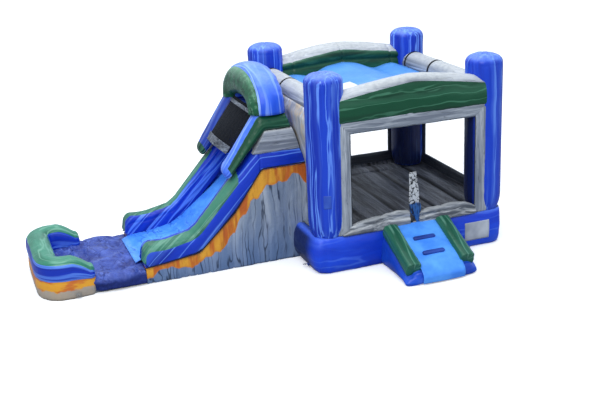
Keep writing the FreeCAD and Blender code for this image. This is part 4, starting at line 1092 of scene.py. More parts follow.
# ---------------------------------------------------------------- ramp
def make_ramp():
    base_low, base_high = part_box("ramp_base")
    deck_low, deck_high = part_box("ramp_deck")
    centre, half = middle_and_half(base_low.x - 0.02, base_high.x + 0.02)
    back, front = base_high.y + 0.04, base_low.y - 0.03
    nose_top = 0.325

    def deck_height(y):
        return nose_top + (deck_high.z - nose_top) * (y - (front + 0.04)) / (back - 0.04 - front - 0.04)

    # blue body: sections across the ramp, from the house to the nose
    ys = np.linspace(back, front + 0.10, 46)

    def sections(share, distance):
        y = ys[0] + (ys[-1] - ys[0]) * share
        nose = smooth((front + 0.32 - y) / 0.30)
        top = deck_height(y) - 0.045 - 0.10 * nose ** 2
        edge = top - 0.13 + 0.05 * nose
        taper = 0.11 * smooth((back - y) / (back - front))
        corners = [(-half + 0.04, 0.0), (half - 0.04 - taper, 0.0), (half - 0.05 - 0.6 * taper, edge), (0.42, top),
                   (-0.42, top), (-half + 0.03, edge)]
        return corners, [0.0, 0.075 + taper, 0.045, 0.0, 0.045, 0.085]

    body = sewn_tube("ramp_base_blue", spread(centre, ys, 0.0), sections, (6, 12, 6, 8, 6, 12), ["ramp_vinyl"],
                     caps=(0.0, 0.10), relief=relief(0.006, 0.008, 0.008, seed=121), fullness=0.6)
    place(body, "blue_vinyl", "ramp_base")

    # light-blue deck: down the slope and over the nose to the ground
    line = [(back + 0.05, deck_height(back) - 0.03), (back, deck_height(back) + 0.01),
            (front + 0.12, nose_top + 0.01), (front - 0.045, nose_top - 0.14), (front - 0.02, 0.03)]
    grid = carried(rounded_path([(0.0, y, z) for y, z in line], 0.14, 0.02),
                   np.linspace(deck_low.x - 0.01, deck_high.x + 0.01, 26), 0)
    swell = 0.012 * np.sin(np.pi * np.linspace(0, 1, 26)) + noise(grid, (3.0, 6.0, 6.0), 123, 3) * 0.010
    grid = grid + upward(grid) * swell[..., None]
    place(sheet("ramp_deck_sheet", grid, 0.006, "light_blue_vinyl"), "light_blue_vinyl", "ramp_deck")

    wide, up, down = 0.128, 0.125, 0.140
    corners = [(-wide, -down), (wide, -down), (wide, up * 0.8), (-wide, up * 0.8)]
    for node in ("ramp_bolster_left", "ramp_bolster_right"):
        low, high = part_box(node)
        x = (low.x + high.x) / 2
        line = rounded_path([(x + 0.02, high.y + 0.02, deck_height(high.y) - 0.025),
                             (x - 0.01, low.y + 0.02, deck_height(low.y) - 0.035)], 0.0, 0.025)
        pad = sewn_tube(node + "_green", line, steady(corners, [0.012, 0.020, 0.034, 0.020]), (9, 9, 12, 9),
                        ["bolster_vinyl"], caps=(0.015, 0.012), relief=relief(0.005, 0.004, 0.010, 0.05, 131),
                        fullness=0.6)
        place(pad, "green_vinyl", node)


def loose_parts(mesh):
    """The corners of each separate part of a mesh."""
    shape = bmesh.new()
    shape.from_mesh(mesh)
    bmesh.ops.remove_doubles(shape, verts=shape.verts, dist=0.0001)
    shape.verts.ensure_lookup_table()
    seen, parts = set(), []
    for vertex in shape.verts:
        stack, members = [vertex], []
        while stack:
            v = stack.pop()
            if v not in seen:
                seen.add(v)
                members.append(np.array(v.co))
                stack.extend(edge.other_vert(v) for edge in v.link_edges)
        if members:
            parts.append(np.array(members))
    shape.free()
    return parts


def make_step_bars():
    """Padded bars of the ramp and the inside climb, each over its CAD solid."""
    points, faces = [], []
    around, stations = 16, 18
    turns = np.linspace(0, 2 * math.pi, around, endpoint=False)
    blocky = [np.sign(values) * np.abs(values) ** 0.4 for values in (np.cos(turns), np.sin(turns))]
    for corners in loose_parts(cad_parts["step_bars"].data):
        centre = corners.mean(0)
        axes = np.linalg.svd(corners - centre)[2]
        placed = (corners - centre) @ axes.T
        half = (placed.max(0) - placed.min(0)) / 2 * (1.0, 1.1, 1.15)
        base = len(points)
        for s in np.linspace(-half[0] + 0.012, half[0] - 0.012, stations):
            scale = math.sqrt(min(max(1 - (abs(s) / half[0]) ** 14, 0.2), 1))
            a, b = (half[k + 1] * scale * blocky[k][:, None] for k in (0, 1))
            points.extend(centre + axes[0] * s + axes[1] * a + axes[2] * b)
        for i in range(stations - 1):
            low, high = base + i * around, base + (i + 1) * around
            for j in range(around):
                n = (j + 1) % around
                faces.append((low + j, low + n, high + n, high + j))
        last = base + (stations - 1) * around
        faces += [tuple(range(base + around - 1, base - 1, -1)), tuple(range(last, last + around))]
    bars = outward(new_object("step_bars_padded", points, faces, None, None, ["step_vinyl"]))
    place(bars, "blue_vinyl", "step_bars")


# ---------------------------------------------------------------- slide
def ruled_tube(name, pairs, across, profile, counts, materials, panel_material=None, radius=0.0, fullness=0.7,
               **more):
    """A soft wall between an upper and a lower line: pairs of (upper x, upper z, lower x, lower z).

    profile gives corners and bulges; the first number of a corner runs across the wall from the middle and the
    second from 0 on the lower line to 1 on the upper line. across is the wall's middle in Y.
    """
    corners, bulges = profile
    line = rounded_path(pairs, radius, 0.03)
    rings = []
    for upper_x, upper_z, lower_x, lower_z in line:
        lower = np.array([lower_x, 0.0, lower_z])
        rise = np.array([upper_x, 0.0, upper_z]) - lower
        tall = np.linalg.norm(rise)
        ring = section([(a, b * tall) for a, b in corners], bulges, counts, fullness)
        rings.append(lower + (0.0, across, 0.0) + ring[:, :1] * np.array([0.0, 1.0, 0.0]) + ring[:, 1:2] * rise / tall)
    return skin(name, np.array(rings), lengths(line[:, :2]), counts, materials, panel_material, **more)


BODY_LOW, BODY_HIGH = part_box("slide_body")
PRINT_SEAM = [(-5.20, 0.345), (-4.95, 0.365), (-4.114, 0.468), (-3.358, 1.165), (-2.763, 1.975), (-1.80, 1.985)]
BED_LINE = [(-5.20, 0.345), (-4.70, 0.380), (-4.301, 0.433), (-3.306, 1.147), (-2.48, 1.87), (-2.03, 1.87)]
RAILS = {"near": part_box("slide_rail_near"), "far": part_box("slide_rail_far")}
HOUSE_END = -1.84          # where the slide's sides meet the house
KNEE = (-2.79, 2.2)        # X and Z where the sides bend from the level platform to the slope
SLOPE = (0.72, 0.70)       # the slope's direction in X and Z


def height_on(line, x):
    return np.interp(x, *zip(*line))


def set_flow(obj, rule):
    """Gives a piece a flow map computed from its points."""
    mesh = obj.data
    corners = np.empty(len(mesh.loops), np.int32)
    mesh.loops.foreach_get("vertex_index", corners)
    flow = rule(mesh_points(mesh))[corners]
    mesh.uv_layers["flow"].data.foreach_set("uv", flow.astype(np.float32).ravel())


def slope_flow(points):
    """Streaks that run down the slope and level along the platform."""
    x, y, z = points.T
    level = x > KNEE[0]
    past, above = x - KNEE[0], z - KNEE[1]
    run = np.where(level, x, KNEE[0] + SLOPE[0] * past + SLOPE[1] * above)
    height = np.where(level, z, KNEE[1] + SLOPE[0] * above - SLOPE[1] * past)
    return np.stack([height + 0.6 * y, run], -1)


def make_print_wall():
    """The printed body under the slide: flat printed sides with upright folds."""
    xs = np.concatenate([np.arange(BODY_LOW.x, HOUSE_END, 0.03), [HOUSE_END]])
    middle, half = middle_and_half(BODY_LOW.y, BODY_HIGH.y)
    half = half - 0.035
    wall = half - 0.30

    def sections(share, distance):
        x = xs[0] + (xs[-1] - xs[0]) * share
        top = height_on(PRINT_SEAM, x) - 0.01
        channel = min(height_on(BED_LINE, x) - 0.07, top)
        return [(-half, 0.0), (half, 0.0), (half, top), (wall, top), (wall - 0.01, channel), (0.01 - wall, channel),
                (-wall, top), (-half, top)], [0.0, 0.03, 0.0, 0.0, 0.0, 0.0, 0.0, 0.03]

    def depth(rings, run, panel, within, total):
        sides = (panel == 1) | (panel == 7)
        fold = noise(rings, (5.5, 0.0, 0.55), 141, 3)
        fine = noise(rings, (16.0, 0.0, 1.1), 142, 2)
        crack = -0.020 * bell(np.abs(noise(rings, (4.2, 0.0, 0.35), 143, 2)), 0.045)
        top_gather = noise(rings, (22.0, 0.0, 2.0), 144, 1) * np.exp(-(1 - within) / 0.10) * 0.012
        return sides * (0.014 * fold + 0.005 * fine + crack + top_gather)

    wall_piece = sewn_tube("slide_print_wall", spread(xs, middle, 0.0), sections, (4, 44, 3, 4, 4, 4, 3, 44),
                           ["drip_print", "blue_vinyl_level_x"], (0, 0, 1, 1, 1, 1, 1, 0), relief=depth, fullness=0.6)
    set_flow(wall_piece, lambda p: np.stack([p[:, 0], height_on(PRINT_SEAM, p[:, 0]) - p[:, 2]], -1))
    place(wall_piece, "print_vinyl", "slide_body")


def make_piping():
    """The dark welt between the printed sides and the blue side walls; its near-black colour also paints the shade
    along the seam.
    """
    for side, (low, high) in RAILS.items():
        y = low.y - 0.002 if side == "near" else high.y + 0.002
        path = rounded_path([(x, y, z + 0.004) for x, z in PRINT_SEAM], 0.08, 0.03)
        welt = sewn_tube("print_seam_" + side, path, steady(*circle(0.013, 8, 0.0)), (1,) * 8, ["seam_piping_and_shade"],
                         up=(0, 1, 0), caps=(0.004, 0.004))
        place(welt, "navy_vinyl")


def make_slide_rails():
    """The two side walls of the slide: the green band runs over the outer shoulder and down the low end."""
    pairs = [(-5.215, 0.46, -5.10, 0.345), (-5.195, 0.70, -5.09, 0.355), (-5.10, 0.80, -5.03, 0.36),
             (-4.785, 0.770, -4.74, 0.375), (-4.182, 0.890, -4.03, 0.520), (-3.383, 1.790, -3.20, 1.380),
             (-2.863, 2.390, -2.763, 1.965), (-2.00, 2.390, HOUSE_END, 1.975)]
    bends = [0.0, 0.08, 0.10, 0.28, 0.26, 0.3, 0.08, 0.0]
    foot = -4.2          # where the wall bends at the run-out
    band_end = -3.24     # the green band stops short of the platform
    for side, (low, high) in RAILS.items():
        middle, half = middle_and_half(low.y, high.y)
        half = half - 0.012
        corners = [(-half, -0.02), (half, -0.02), (half, 0.66)]
        if side == "near":
            way, counts, colours = -1, (6, 16, 12, 12, 16), (0, 0, 0, 1, 0)
            profile = corners + [(0.04, 0.985), (-half, 0.66)], [0.0, 0.022, 0.055, 0.055, 0.022]
        else:
            way, counts, colours = 1, (6, 16, 12, 5, 10, 16), (0, 0, 1, 1, 0, 0)
            profile = (corners + [(-0.04, 0.985), (-0.135, 0.955), (-half, 0.66)],
                       [0.0, 0.022, 0.055, 0.014, 0.040, 0.022])

        def depth(rings, run, panel, within, total):
            x = rings[..., 0]
            top = (panel > 1) & (panel < len(counts) - 1)
            folds = soft_folds(rings, 0.006, (3.5, 3.5, 3.5), 151 + way)
            puckers = gathers(run / 0.055, within * 1.2, panel, 152 + way)
            seam = near_seam(within, 0.14)
            wave = np.sin(run / 0.034 + 2.0 * noise(rings, (5, 5, 5), 153))
            return (folds + puckers * seam * np.where(top, 0.009, 0.006) - 0.020 * bell(x - KNEE[0], 0.012)
                    + 0.008 * bell(x - foot, 0.22) * wave * (0.4 + 0.6 * seam))

        rail = ruled_tube("slide_rail_" + side + "_tube", pairs, middle, profile, counts,
                          ["slide_side_vinyl", "slide_green_vinyl"], colours, radius=bends, caps=(0.03, 0.01),
                          relief=depth, fullness=0.62)
        for face in rail.data.polygons:
            if face.center.x > band_end:
                face.material_index = 0
        set_flow(rail, slope_flow)
        place(rail, "blue_vinyl", "slide_rail_" + side)


def make_bed():
    """The sliding surface, loose where it runs out."""
    low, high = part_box("slide_bed")
    line = [(-2.00, 1.885), (-2.50, 1.885), (-3.306, 1.160), (-4.24, 0.455), (-4.70, 0.395), (-5.20, 0.365),
            (-5.31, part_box("landing_mat")[1].z + 0.012)]
    y = np.linspace(low.y - 0.02, high.y + 0.02, 46)
    grid = carried(rounded_path([(x, 0.0, z) for x, z in line], [0.0, 0.14, 0.2, 0.25, 0.1, 0.05, 0.0], 0.022), y, 1)
    ridges = np.abs(noise(grid, (6.0, 2.6, 1.0), 161, 3))
    folds = noise(grid, (2.2, 1.8, 1.5), 162, 3)
    fine = noise(grid, (11.0, 4.0, 1.0), 164, 2)
    lift = bell(grid[..., 0] + 4.45, 0.52) * (0.070 * (0.35 - ridges) + 0.012 * fine) + 0.012 * folds
    lift = lift + 0.030 * np.exp(-np.minimum(y - y[0], y[-1] - y) / 0.18)
    grid[..., 2] += lift * smooth((grid[..., 0] + 5.29) / 0.22)
    place(sheet("slide_bed_sheet", grid, 0.008, "slide_bed_vinyl"), "light_blue_vinyl", "slide_bed")


def make_upper_walls():
    pairs = [(-3.425, 2.06, -3.365, 1.92), (-2.763, 3.040, -2.640, 2.700), (-2.22, 3.040, -2.12, 2.700)]
    for side in ("near", "far"):
        node = "upper_wall_" + side
        low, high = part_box(node)
        middle, half = middle_and_half(low.y, high.y)
        near = side == "near"
        if near:
            corners = [(-half + 0.045, 0.08), (half - 0.045, 0.08), (half - 0.03, 0.84), (-0.10, 0.90),
                       (-half + 0.012, 0.60)]
            profile, colours = (corners, [0.02, 0.035, 0.085, 0.015, 0.035]), (1, 0, 0, 1, 1)
        else:
            corners = [(-half + 0.045, 0.08), (half - 0.03, 0.08), (half, 0.84), (0.05, 1.12), (-half + 0.03, 0.90)]
            profile, colours = (corners, [0.02, 0.045, 0.05, 0.05, 0.035]), (0, 0, 0, 0, 0)
        # the far wall takes the darker blue, which is painted shade
        tube = ruled_tube(node + "_tube", pairs, middle, profile, (8, 14, 9, 9, 14),
                          ["upper_wall_blue_vinyl" if near else "far_wall_shaded_blue_vinyl", "green_vinyl_flow"], colours,
                          radius=[0.0, 0.10, 0.0], caps=(0.13, 0.01), cap_material=0 if near else 1,
                          relief=relief(0.007, 0.005, 0.014, 0.05, 171 + near), fullness=0.75)
        place(tube, "green_vinyl", node)


def make_platform_panels():
    pairs = [(-2.67, 2.715, -2.925, 2.290), (-2.10, 2.715, -1.95, 2.290)]
    for side, (low, high) in RAILS.items():
        middle, half = middle_and_half(low.y, high.y)
        half = half - 0.004
        profile = [(-half, 0.0), (half, 0.0), (half, 1.0), (-half, 1.0)], [0.0, 0.035, 0.0, 0.035]
        pad = ruled_tube("platform_pad_" + side, pairs, middle, profile, (4, 14, 4, 14), ["grey_vinyl_x"],
                         relief=relief(0.006, 0.006, 0.004, 0.06, 181), fullness=0.6)
        place(pad, "grey_vinyl", *(["platform_panels"] if side == "near" else []))


def make_arch():
    """The hood over the top of the slide: blue outside, with a green band that bulges forward."""
    low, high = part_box("slide_arch")
    middle, half = middle_and_half(low.y, high.y)
    inner_half, inner_top = 0.68, 0.17
    foot, top = low.z - 0.03, high.z - 0.02
    back, front = high.x, low.x
    counts = (10, 12, 22, 24)          # points of the inside, back, outside and green front
    rings = []
    for turn in np.linspace(0.0, math.pi, 90):
        c, s = math.cos(turn), math.sin(turn)
        inner = np.array([0.0, middle - inner_half * c, foot + inner_top * s])
        rise = np.array([0.0, middle - half * math.copysign(abs(c) ** 0.85, c),
                         foot + (top - foot) * abs(s) ** 0.80]) - inner
        tall = np.linalg.norm(rise)
        corners = [(front + 0.03, 0.0), (back, 0.0), (back, 0.86 * tall), (front - 0.02, 0.90 * tall)]
        ring = section(corners, (0.02, 0.03, 0.09, 0.17), counts, 0.7)
        rings.append(inner + ring[:, :1] * np.array([1.0, 0.0, 0.0]) + rise / tall * ring[:, 1:])
    rings = np.array(rings)

    def depth(rings, run, panel, within, total):
        puckers = gathers(run / 0.075, within * 2.0, panel, 191)
        return 0.012 * puckers * near_seam(within, 0.2) + 0.010 * noise(rings, (3.5, 3.5, 3.5), 192, 3)

    arch = skin("slide_arch_tube", rings, lengths(rings[:, 30]), counts, ["hood_blue_vinyl", "hood_green_vinyl"],
                (0, 0, 0, 1), relief=depth)
    place(arch, "blue_vinyl", "slide_arch")


def canopy_point(across, down):
    """A place on the arched mesh roof: across from -1 to 1, down from 0 at the hood to 1 at the foot."""
    low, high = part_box("slide_net")
    middle, half = middle_and_half(low.y, high.y)
    start, end = np.array([high.x + 0.03, high.z - 0.04]), np.array([low.x, low.z + 0.01])
    x, z = start + (end - start) * down * 0.86
    lift = 0.115 * (1 - across ** 2) * (0.55 + 0.45 * down)
    return np.array([x - 0.85 * lift, middle + (half + 0.01) * across, z + 0.53 * lift])


def make_canopy():
    rows, columns, pieces = 92, 108, 10
    lines = []
    for i in range(rows):
        steps = [canopy_point(-1 + 2 * k / pieces, (i + 0.5) / rows) for k in range(pieces + 1)]
        lines += zip(steps, steps[1:])
    for j in range(columns):
        lines.append([canopy_point(-1 + 2 * (j + 0.5) / columns, down) for down in (0.0, 1.0)])
    place(cords("slide_mesh_roof", lines, 0.0042, "mesh_roof_cord"), "netting", "slide_net")
    for end, start, deep, crumpled in (("top", 0.06, 0.075, 0.006), ("foot", 0.875, 0.16, 0.034)):
        grid = np.array([[canopy_point(a, start + deep * t) for t in np.linspace(0, 1, 12)]
                         for a in np.linspace(-1, 1, 60)]) + (-0.012, 0.0, 0.010)
        grid += (noise(grid, (11.0, 11.0, 11.0), 201, 3) * crumpled)[..., None] * (-0.7, 0.0, 0.7)
        place(sheet("mesh_roof_trim_" + end, grid, 0.008, "mesh_trim_vinyl"), "grey_vinyl")


# ---------------------------------------------------------------- landing
CLOTH_FRAMES = 20


def slack_cloth(grid, slack, limit):
    """Lets loose cloth buckle between its held edges; nothing moves further than the limit."""
    points = grid.reshape(-1, 3)
    number = np.arange(len(points)).reshape(grid.shape[:2])
    faces = np.stack([number[:-1, :-1], number[1:, :-1], number[1:, 1:], number[:-1, 1:]], -1).reshape(-1, 4)
    held = np.unique(np.concatenate([number[0], number[-1], number[:, 0], number[:, -1]]))
    mesh = bpy.data.meshes.new("loose_cloth")
    mesh.from_pydata([tuple(p) for p in points], [], faces.tolist())
    obj = bpy.data.objects.new("loose_cloth", mesh)
    bpy.context.scene.collection.objects.link(obj)
    obj.vertex_groups.new(name="pins").add(held.tolist(), 1.0, "REPLACE")
    cloth = obj.modifiers.new("cloth", "CLOTH")
    fabric = cloth.settings
    fabric.quality = 5
    fabric.mass = 0.4
    fabric.tension_stiffness = fabric.compression_stiffness = 20.0
    fabric.shear_stiffness = 8.0
    fabric.bending_stiffness = 0.4
    fabric.vertex_group_mass = "pins"
    fabric.shrink_min = -slack
    fabric.effector_weights.gravity = 0.0
    cloth.point_cache.frame_start, cloth.point_cache.frame_end = 1, CLOTH_FRAMES
    for now in range(1, CLOTH_FRAMES + 1):
        bpy.context.scene.frame_set(now)
    shape = obj.evaluated_get(bpy.context.evaluated_depsgraph_get()).data
    shift = mesh_points(shape) - points
    bpy.data.objects.remove(obj)
    bpy.data.meshes.remove(mesh)
    bpy.context.scene.frame_set(1)
    far = np.linalg.norm(shift, axis=1, keepdims=True)
    return (points + shift * np.minimum(1.0, limit / np.maximum(far, 1e-6))).reshape(grid.shape)


BUMPER_LOW, BUMPER_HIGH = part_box("bumper")


def make_mat():
    """The loose cover of the landing, draped over both sides of its base."""
    low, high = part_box("landing_mat")
    top, foot = high.z - 0.01, low.z
    near, far = low.y + 0.045, high.y - 0.045
    middle, half = middle_and_half(near, far)
    arm = BUMPER_HIGH.x          # the bumper's arms reach to here
    line = [(near - 0.02, foot), (near, top), (far, top), (far + 0.02, foot)]
    x = np.linspace(high.x - 0.002, BUMPER_LOW.x + 0.43, 100)
    grid = carried(rounded_path([(0.0, y, z) for y, z in line], 0.09, 0.024), x, 0)
    inset = 0.05 * smooth((arm + 0.15 - x) / 0.12) + 0.32 * smooth((arm - 0.03 - x) / 0.16)
    grid[..., 1] = middle + (grid[..., 1] - middle) * (1.0 - inset / half)
    normal = upward(grid)
    swayed = grid + 0.25 * np.stack([noise(grid, (2.0, 2.0, 2.0), seed, 2) for seed in (211, 212, 213)], -1)
    crease = np.abs(noise(swayed, (3.6, 2.4, 2.8), 214, 3))
    lift = 0.046 * (0.28 - crease) + 0.022 * noise(grid, (1.5, 1.1, 1.5), 215, 2)
    upright = np.abs(normal[..., 2]) < 0.5
    lift = lift + upright * 0.014 * noise(grid, (9.0, 1.0, 2.0), 216, 2)
    loose = smooth(np.minimum((x[0] - x - 0.05) / 0.25, (x - x[-1]) / 0.14))
    grid = grid + normal * (lift * loose)[..., None]
    grid = grid + (slack_cloth(grid, 0.07, 0.06) - grid) * loose[:, None]
    place(sheet("landing_mat_cover", grid, 0.006, "mat_vinyl"), "navy_vinyl", "landing_mat")


def make_landing_base():
    low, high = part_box("landing_base")
    middle, half = middle_and_half(low.y, high.y)
    half = half - 0.085
    tall = high.z - 0.06
    corners = [(-half, 0.0), (half, 0.0), (half, tall), (-half, tall)]
    base = sewn_tube("landing_base_tube", spread(np.linspace(high.x, BUMPER_HIGH.x - 0.12, 40), middle, 0.0),
                     steady(corners, [0.0, 0.012, 0.0, 0.012]), (4, 8, 4, 8), ["grey_vinyl_x"],
                     relief=relief(seed=221), fullness=0.6)
    place(base, "print_vinyl", "landing_base")


def make_bumper():
    half = 0.235
    near, far, end = BUMPER_LOW.y + half, BUMPER_HIGH.y - half, BUMPER_LOW.x + half
    start = BUMPER_HIGH.x - 0.03
    path = rounded_path([(start, near, 0.0), (end, near, 0.0), (end, far, 0.0), (start, far, 0.0)], 0.52, 0.03)

    def sections(share, distance):
        to_end = min(distance, distance / share - distance) if share > 0 else 0.0
        droop = math.sqrt(max(1.0 - min(to_end / 0.34, 1.0), 0.0) ** 3)
        w, top = half * (1.0 - 0.16 * droop), 0.70 - 0.20 * droop
        return [(-w + 0.03, 0.0), (w - 0.025, 0.0), (w - 0.03, 0.30), (w - 0.035, top),
                (-w + 0.035, top), (-w + 0.03, 0.37 - 0.04 * droop)], [0.0, 0.022, 0.035, 0.085, 0.03, 0.02]

    def depth(rings, run, panel, within, total):
        puckers = gathers(run / 0.06, within * 1.5, panel, 231) * near_seam(within, 0.16)
        bend = bell(run - 0.72, 0.3) + bell(total - run - 0.72, 0.3)
        return (puckers * (0.006 + 0.008 * bend) + soft_folds(rings, 0.008, (2.6, 2.6, 3.0), 232)
                + end_gathers(run, total, within, panel, 0.010, 0.1, 233))

    tube = sewn_tube("bumper_tube", path, sections, (4, 14, 14, 20, 14, 8),
                     ["base_print", "bumper_blue_vinyl", "bumper_green_vinyl"], (0, 1, 1, 2, 1, 0),
                     caps=(0.10, 0.10), relief=depth, fullness=0.62)
    place(tube, "blue_vinyl", "bumper")


# ---------------------------------------------------------------- the rest
LEFT_PLANE = -1.795


def wall_pad(name, y0, y1, z0, z1, seed, *stands_for):
    """One padded panel of the left wall, which leans out under the roof."""
    middle, half = middle_and_half(y0, y1)
    zs = np.linspace(z0, z1, max(6, int((z1 - z0) / 0.035)))
    x = np.interp(zs, (1.9, 2.7, 3.0, 3.2), (LEFT_PLANE, LEFT_PLANE - 0.20, LEFT_PLANE - 0.23, LEFT_PLANE - 0.13))
    thick = FRAME_THICK / 2 - 0.012
    corners = [(-thick, -half), (thick, -half), (thick, half), (-thick, half)]
    wide = max(8, int(2 * half / 0.04))
    pad = sewn_tube("left_wall_" + name, spread(x, middle, zs), steady(corners, [0.0, 0.022, 0.0, 0.022]),
                    (3, wide, 3, wide), ["left_wall_print"], up=(0, 1, 0),
                    relief=relief(0.005, 0.006, 0.004, 0.06, seed), fullness=0.5)
    place(pad, "grey_vinyl", *stands_for)


def make_left_wall():
    near_end, far_end = RAILS["near"][1].y + 0.002, RAILS["far"][0].y - 0.002
    top = 3.17
    wall_pad("near", -FRAME_HALF, near_end, SKIRT_TOP, top, 241, "left_frame")
    wall_pad("far", far_end, FRAME_HALF, SKIRT_TOP, top, 251)
    wall_pad("gusset_near", near_end - 0.01, near_end + 0.62, 2.36, top, 265)
    wall_pad("gusset_far", far_end - 0.30, far_end + 0.01, 2.36, top, 266)
    wall_pad("header", near_end, far_end, 2.80, top, 261)
    wall_pad("lower", near_end, far_end, SKIRT_TOP, BODY_HIGH.z + 0.04, 271)


def softened(node, name, material, slot, voxel=0.006, amount=0.0015, scale=30.0):
    """A soft version of a CAD solid: rounded edges and a little unevenness."""
    obj = bpy.data.objects.new(name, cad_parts[node].data.copy())
    bpy.context.scene.collection.objects.link(obj)
    shape = obj.modifiers.new("shape", "REMESH")
    shape.mode = "VOXEL"
    shape.voxel_size = voxel
    obj.modifiers.new("ease", "SMOOTH").iterations = 6
    bpy.context.view_layer.update()
    made = bpy.data.meshes.new_from_object(obj.evaluated_get(bpy.context.evaluated_depsgraph_get()))
    obj.modifiers.clear()
    obj.data = made
    points = mesh_points(made)
    points = points + mesh_points(made, "normal") * (amount * noise(points.astype(float), scale, 281, 2))[:, None]
    made.vertices.foreach_set("co", points.astype(np.float32).ravel())
    made.polygons.foreach_set("use_smooth", [True] * len(made.polygons))
    made.materials.clear()
    made.materials.append(M[material])
    place(obj, slot, node)


def make_patch(name, target, material, corner, wide, tall, way, *stands_for):
    """A small blank patch welded on a piece, following its surface."""
    thick, steps = 0.003, 14
    shape = BVHTree.FromObject(bpy.data.objects[target], bpy.context.evaluated_depsgraph_get())
    corner, wide, tall, way = (np.array(values, float) for values in (corner, wide, tall, way))
    grid = np.zeros((steps, steps, 3))
    for i, j in np.ndindex(steps, steps):
        start = corner + wide * i / (steps - 1) + tall * j / (steps - 1)
        hit = shape.ray_cast(Vector(start + way * 0.3), Vector(-way), 0.8)[0]
        grid[i, j] = np.array(hit if hit is not None else start) + way * (thick * 0.9)
    place(sheet(name, grid, thick, material), "patch_vinyl", *stands_for)


def make_patches():
    bpy.context.view_layer.update()
    make_patch("roof_patch", "roof_tarp_sheet", "roof_patch_vinyl", (-0.88, -0.60, 3.4), (0.38, 0, 0),
               (0, 0.50, 0), (0, 0, 1), "patches")
    make_patch("rule_patch", "base_skirt_blue", "rule_patch_vinyl", (1.095, -2.1, 0.17), (0.56, 0, 0),
               (0, 0, 0.39), (0, -1, 0))
    make_patch("column_patch", "column_front_left_blue", "column_patch_vinyl", (-1.93, -2.05, 1.36), (0.14, 0, 0),
               (0, 0, 0.26), (0, -1, 0))


def make_sleeve():
    low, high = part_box("inflation_sleeve")
    strap_low, strap_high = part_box("sleeve_strap")
    strap_y = (strap_low.y + strap_high.y) / 2
    middle_x, half_x = middle_and_half(low.x, high.x)
    sides = 6

    def depth(rings, run, panel, within, total):
        puckers = gathers((panel + within) / sides * 22.0, run * 3.0, 0.0, 291)
        ring_folds = np.sin(run / 0.022 + 2.5 * noise(rings, (6, 6, 6), 292))
        off = rings[..., 1] - strap_y
        beside, under = bell(off, 0.10), np.exp(-(off / 0.045) ** 4)
        loose = 0.006 * puckers * (0.5 + beside) + 0.006 * ring_folds * (1 - beside) - 0.004
        return loose * (1 - under) - 0.003 * under

    path = spread(middle_x, np.linspace(low.y - 0.01, high.y, 60), (low.z + high.z) / 2)
    sleeve = sewn_tube("inflation_sleeve_tube", path, steady(*circle(half_x - 0.008, sides)), (8,) * sides,
                       ["skirt_vinyl"], relief=depth, fullness=1.0)
    place(sleeve, "blue_vinyl", "inflation_sleeve")


make_skirt()
for corner in CORNERS:
    make_column(corner)
make_floor()
make_beam("front_beam", -1)
make_beam("rear_beam", 1)
make_rail("left_rail", -1)
make_rail("right_rail", 1)
for make in (make_frames, make_left_wall, make_sills, make_nets, make_door_strip, make_roof, make_ramp,
             make_step_bars, make_print_wall, make_slide_rails, make_piping, make_bed, make_upper_walls,
             make_platform_panels, make_arch, make_canopy, make_mat, make_landing_base, make_bumper, make_patches,
             make_sleeve):
    make()
softened("anchor_tabs", "anchor_tabs_webbing", "tab_webbing", "webbing")
make_straps()
softened("sleeve_strap", "sleeve_strap_webbing", "webbing", "webbing", voxel=0.005)
softened("climb_ramp", "climb_ramp_pad", "floor_boards", "floor_vinyl", voxel=0.03, amount=0.02, scale=3.0)

# the kept CAD nodes get a finish
for node, material in (*((f"anchor_ring_{i}", "plated_steel") for i in range(1, 7)),
                       ("blower_housing", "blower_plastic"), ("blower_motor", "motor_paint"),
                       ("blower_guard", "guard_wire"), ("blower_impeller", "impeller_plastic"),
                       ("blower_switch", "switch_plastic"), ("blower_cord", "cord_rubber"),
                       ("deflation_zip", "zip_plastic"), ("zip_slider", "zip_plastic")):
    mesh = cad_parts[node].data
    mesh.materials.clear()
    mesh.materials.append(M[material])


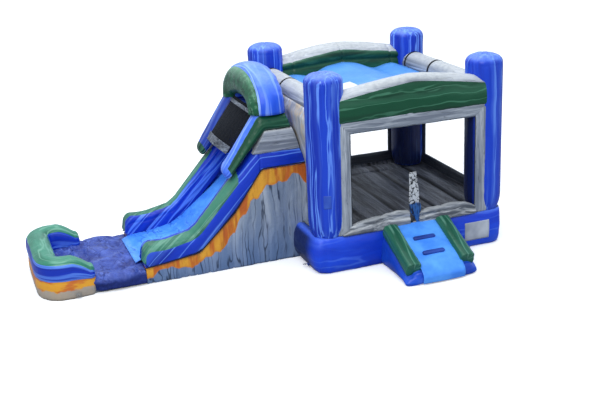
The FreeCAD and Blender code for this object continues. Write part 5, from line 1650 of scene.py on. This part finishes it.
# ---------------------------------------------------------------- camera and light
def make_camera():
    yaw, pitch, roll = (math.radians(angle) for angle in (20.56854, 17.92304, -2.28023))
    ahead = Vector((math.sin(yaw) * math.cos(pitch), math.cos(yaw) * math.cos(pitch), -math.sin(pitch)))
    right = Vector((math.cos(yaw), -math.sin(yaw), 0.0))
    above = right.cross(ahead)
    across = right * math.cos(roll) + above * math.sin(roll)
    up = above * math.cos(roll) - right * math.sin(roll)
    data = bpy.data.cameras.new("view")
    data.lens, data.sensor_width = 58.818, 36.0
    data.shift_x, data.shift_y = -0.00206, -0.0503
    camera = bpy.data.objects.new("view", data)
    turn = Matrix((across, up, -ahead)).transposed().to_4x4()
    camera.matrix_world = Matrix.Translation((-8.44713, -18.58942, 7.85515)) @ turn
    bpy.context.scene.collection.objects.link(camera)
    bpy.context.scene.camera = camera


def make_light():
    """Pale blue surroundings that the camera sees as white, and two large soft lamps."""
    world = bpy.data.worlds.new("studio")
    world.use_nodes = True
    nodes, links = world.node_tree.nodes, world.node_tree.links
    mix = nodes.new("ShaderNodeMix")
    mix.data_type = "RGBA"
    links.new(nodes.new("ShaderNodeLightPath").outputs["Is Camera Ray"], mix.inputs[0])
    mix.inputs[6].default_value = (0.80, 0.88, 1.0, 1.0)
    mix.inputs[7].default_value = (1.0, 1.0, 1.0, 1.0)
    links.new(mix.outputs[2], nodes["Background"].inputs["Color"])
    bpy.context.scene.world = world
    for name, spot, aim, size, power in (
            ("key", (-9.0, -12.0, 14.0), (-1.0, 0.0, 1.0), 9.0, 1300.0),
            ("top", (-2.0, 3.0, 16.0), (-2.0, 0.0, 1.0), 12.0, 1100.0)):
        data = bpy.data.lights.new(name, "AREA")
        data.size, data.energy = size, power
        light = bpy.data.objects.new(name, data)
        light.location = spot
        light.rotation_euler = (Vector(aim) - Vector(spot)).to_track_quat("-Z", "Y").to_euler()
        bpy.context.scene.collection.objects.link(light)


def make_ground():
    g = Graph("studio_floor")
    seen = g.node("ShaderNodeLightPath")
    g.finish(g.mix(seen, (0.34, 0.36, 0.38), (1.0, 1.0, 1.0)), 0.95)
    g.put(g.bsdf.inputs["Emission Color"], (1.0, 1.0, 1.0))
    g.put(g.bsdf.inputs["Emission Strength"], g.times(seen, 0.30))
    ground = new_object("studio_floor", [(-60, -60, 0), (60, -60, 0), (60, 60, 0), (-60, 60, 0)], [(0, 1, 2, 3)],
                        materials=["studio_floor"])
    ground.location.z = -0.004          # just under the object, so the two don't fight
    bpy.context.scene.view_settings.view_transform = "Standard"


make_camera()
make_light()
make_ground()
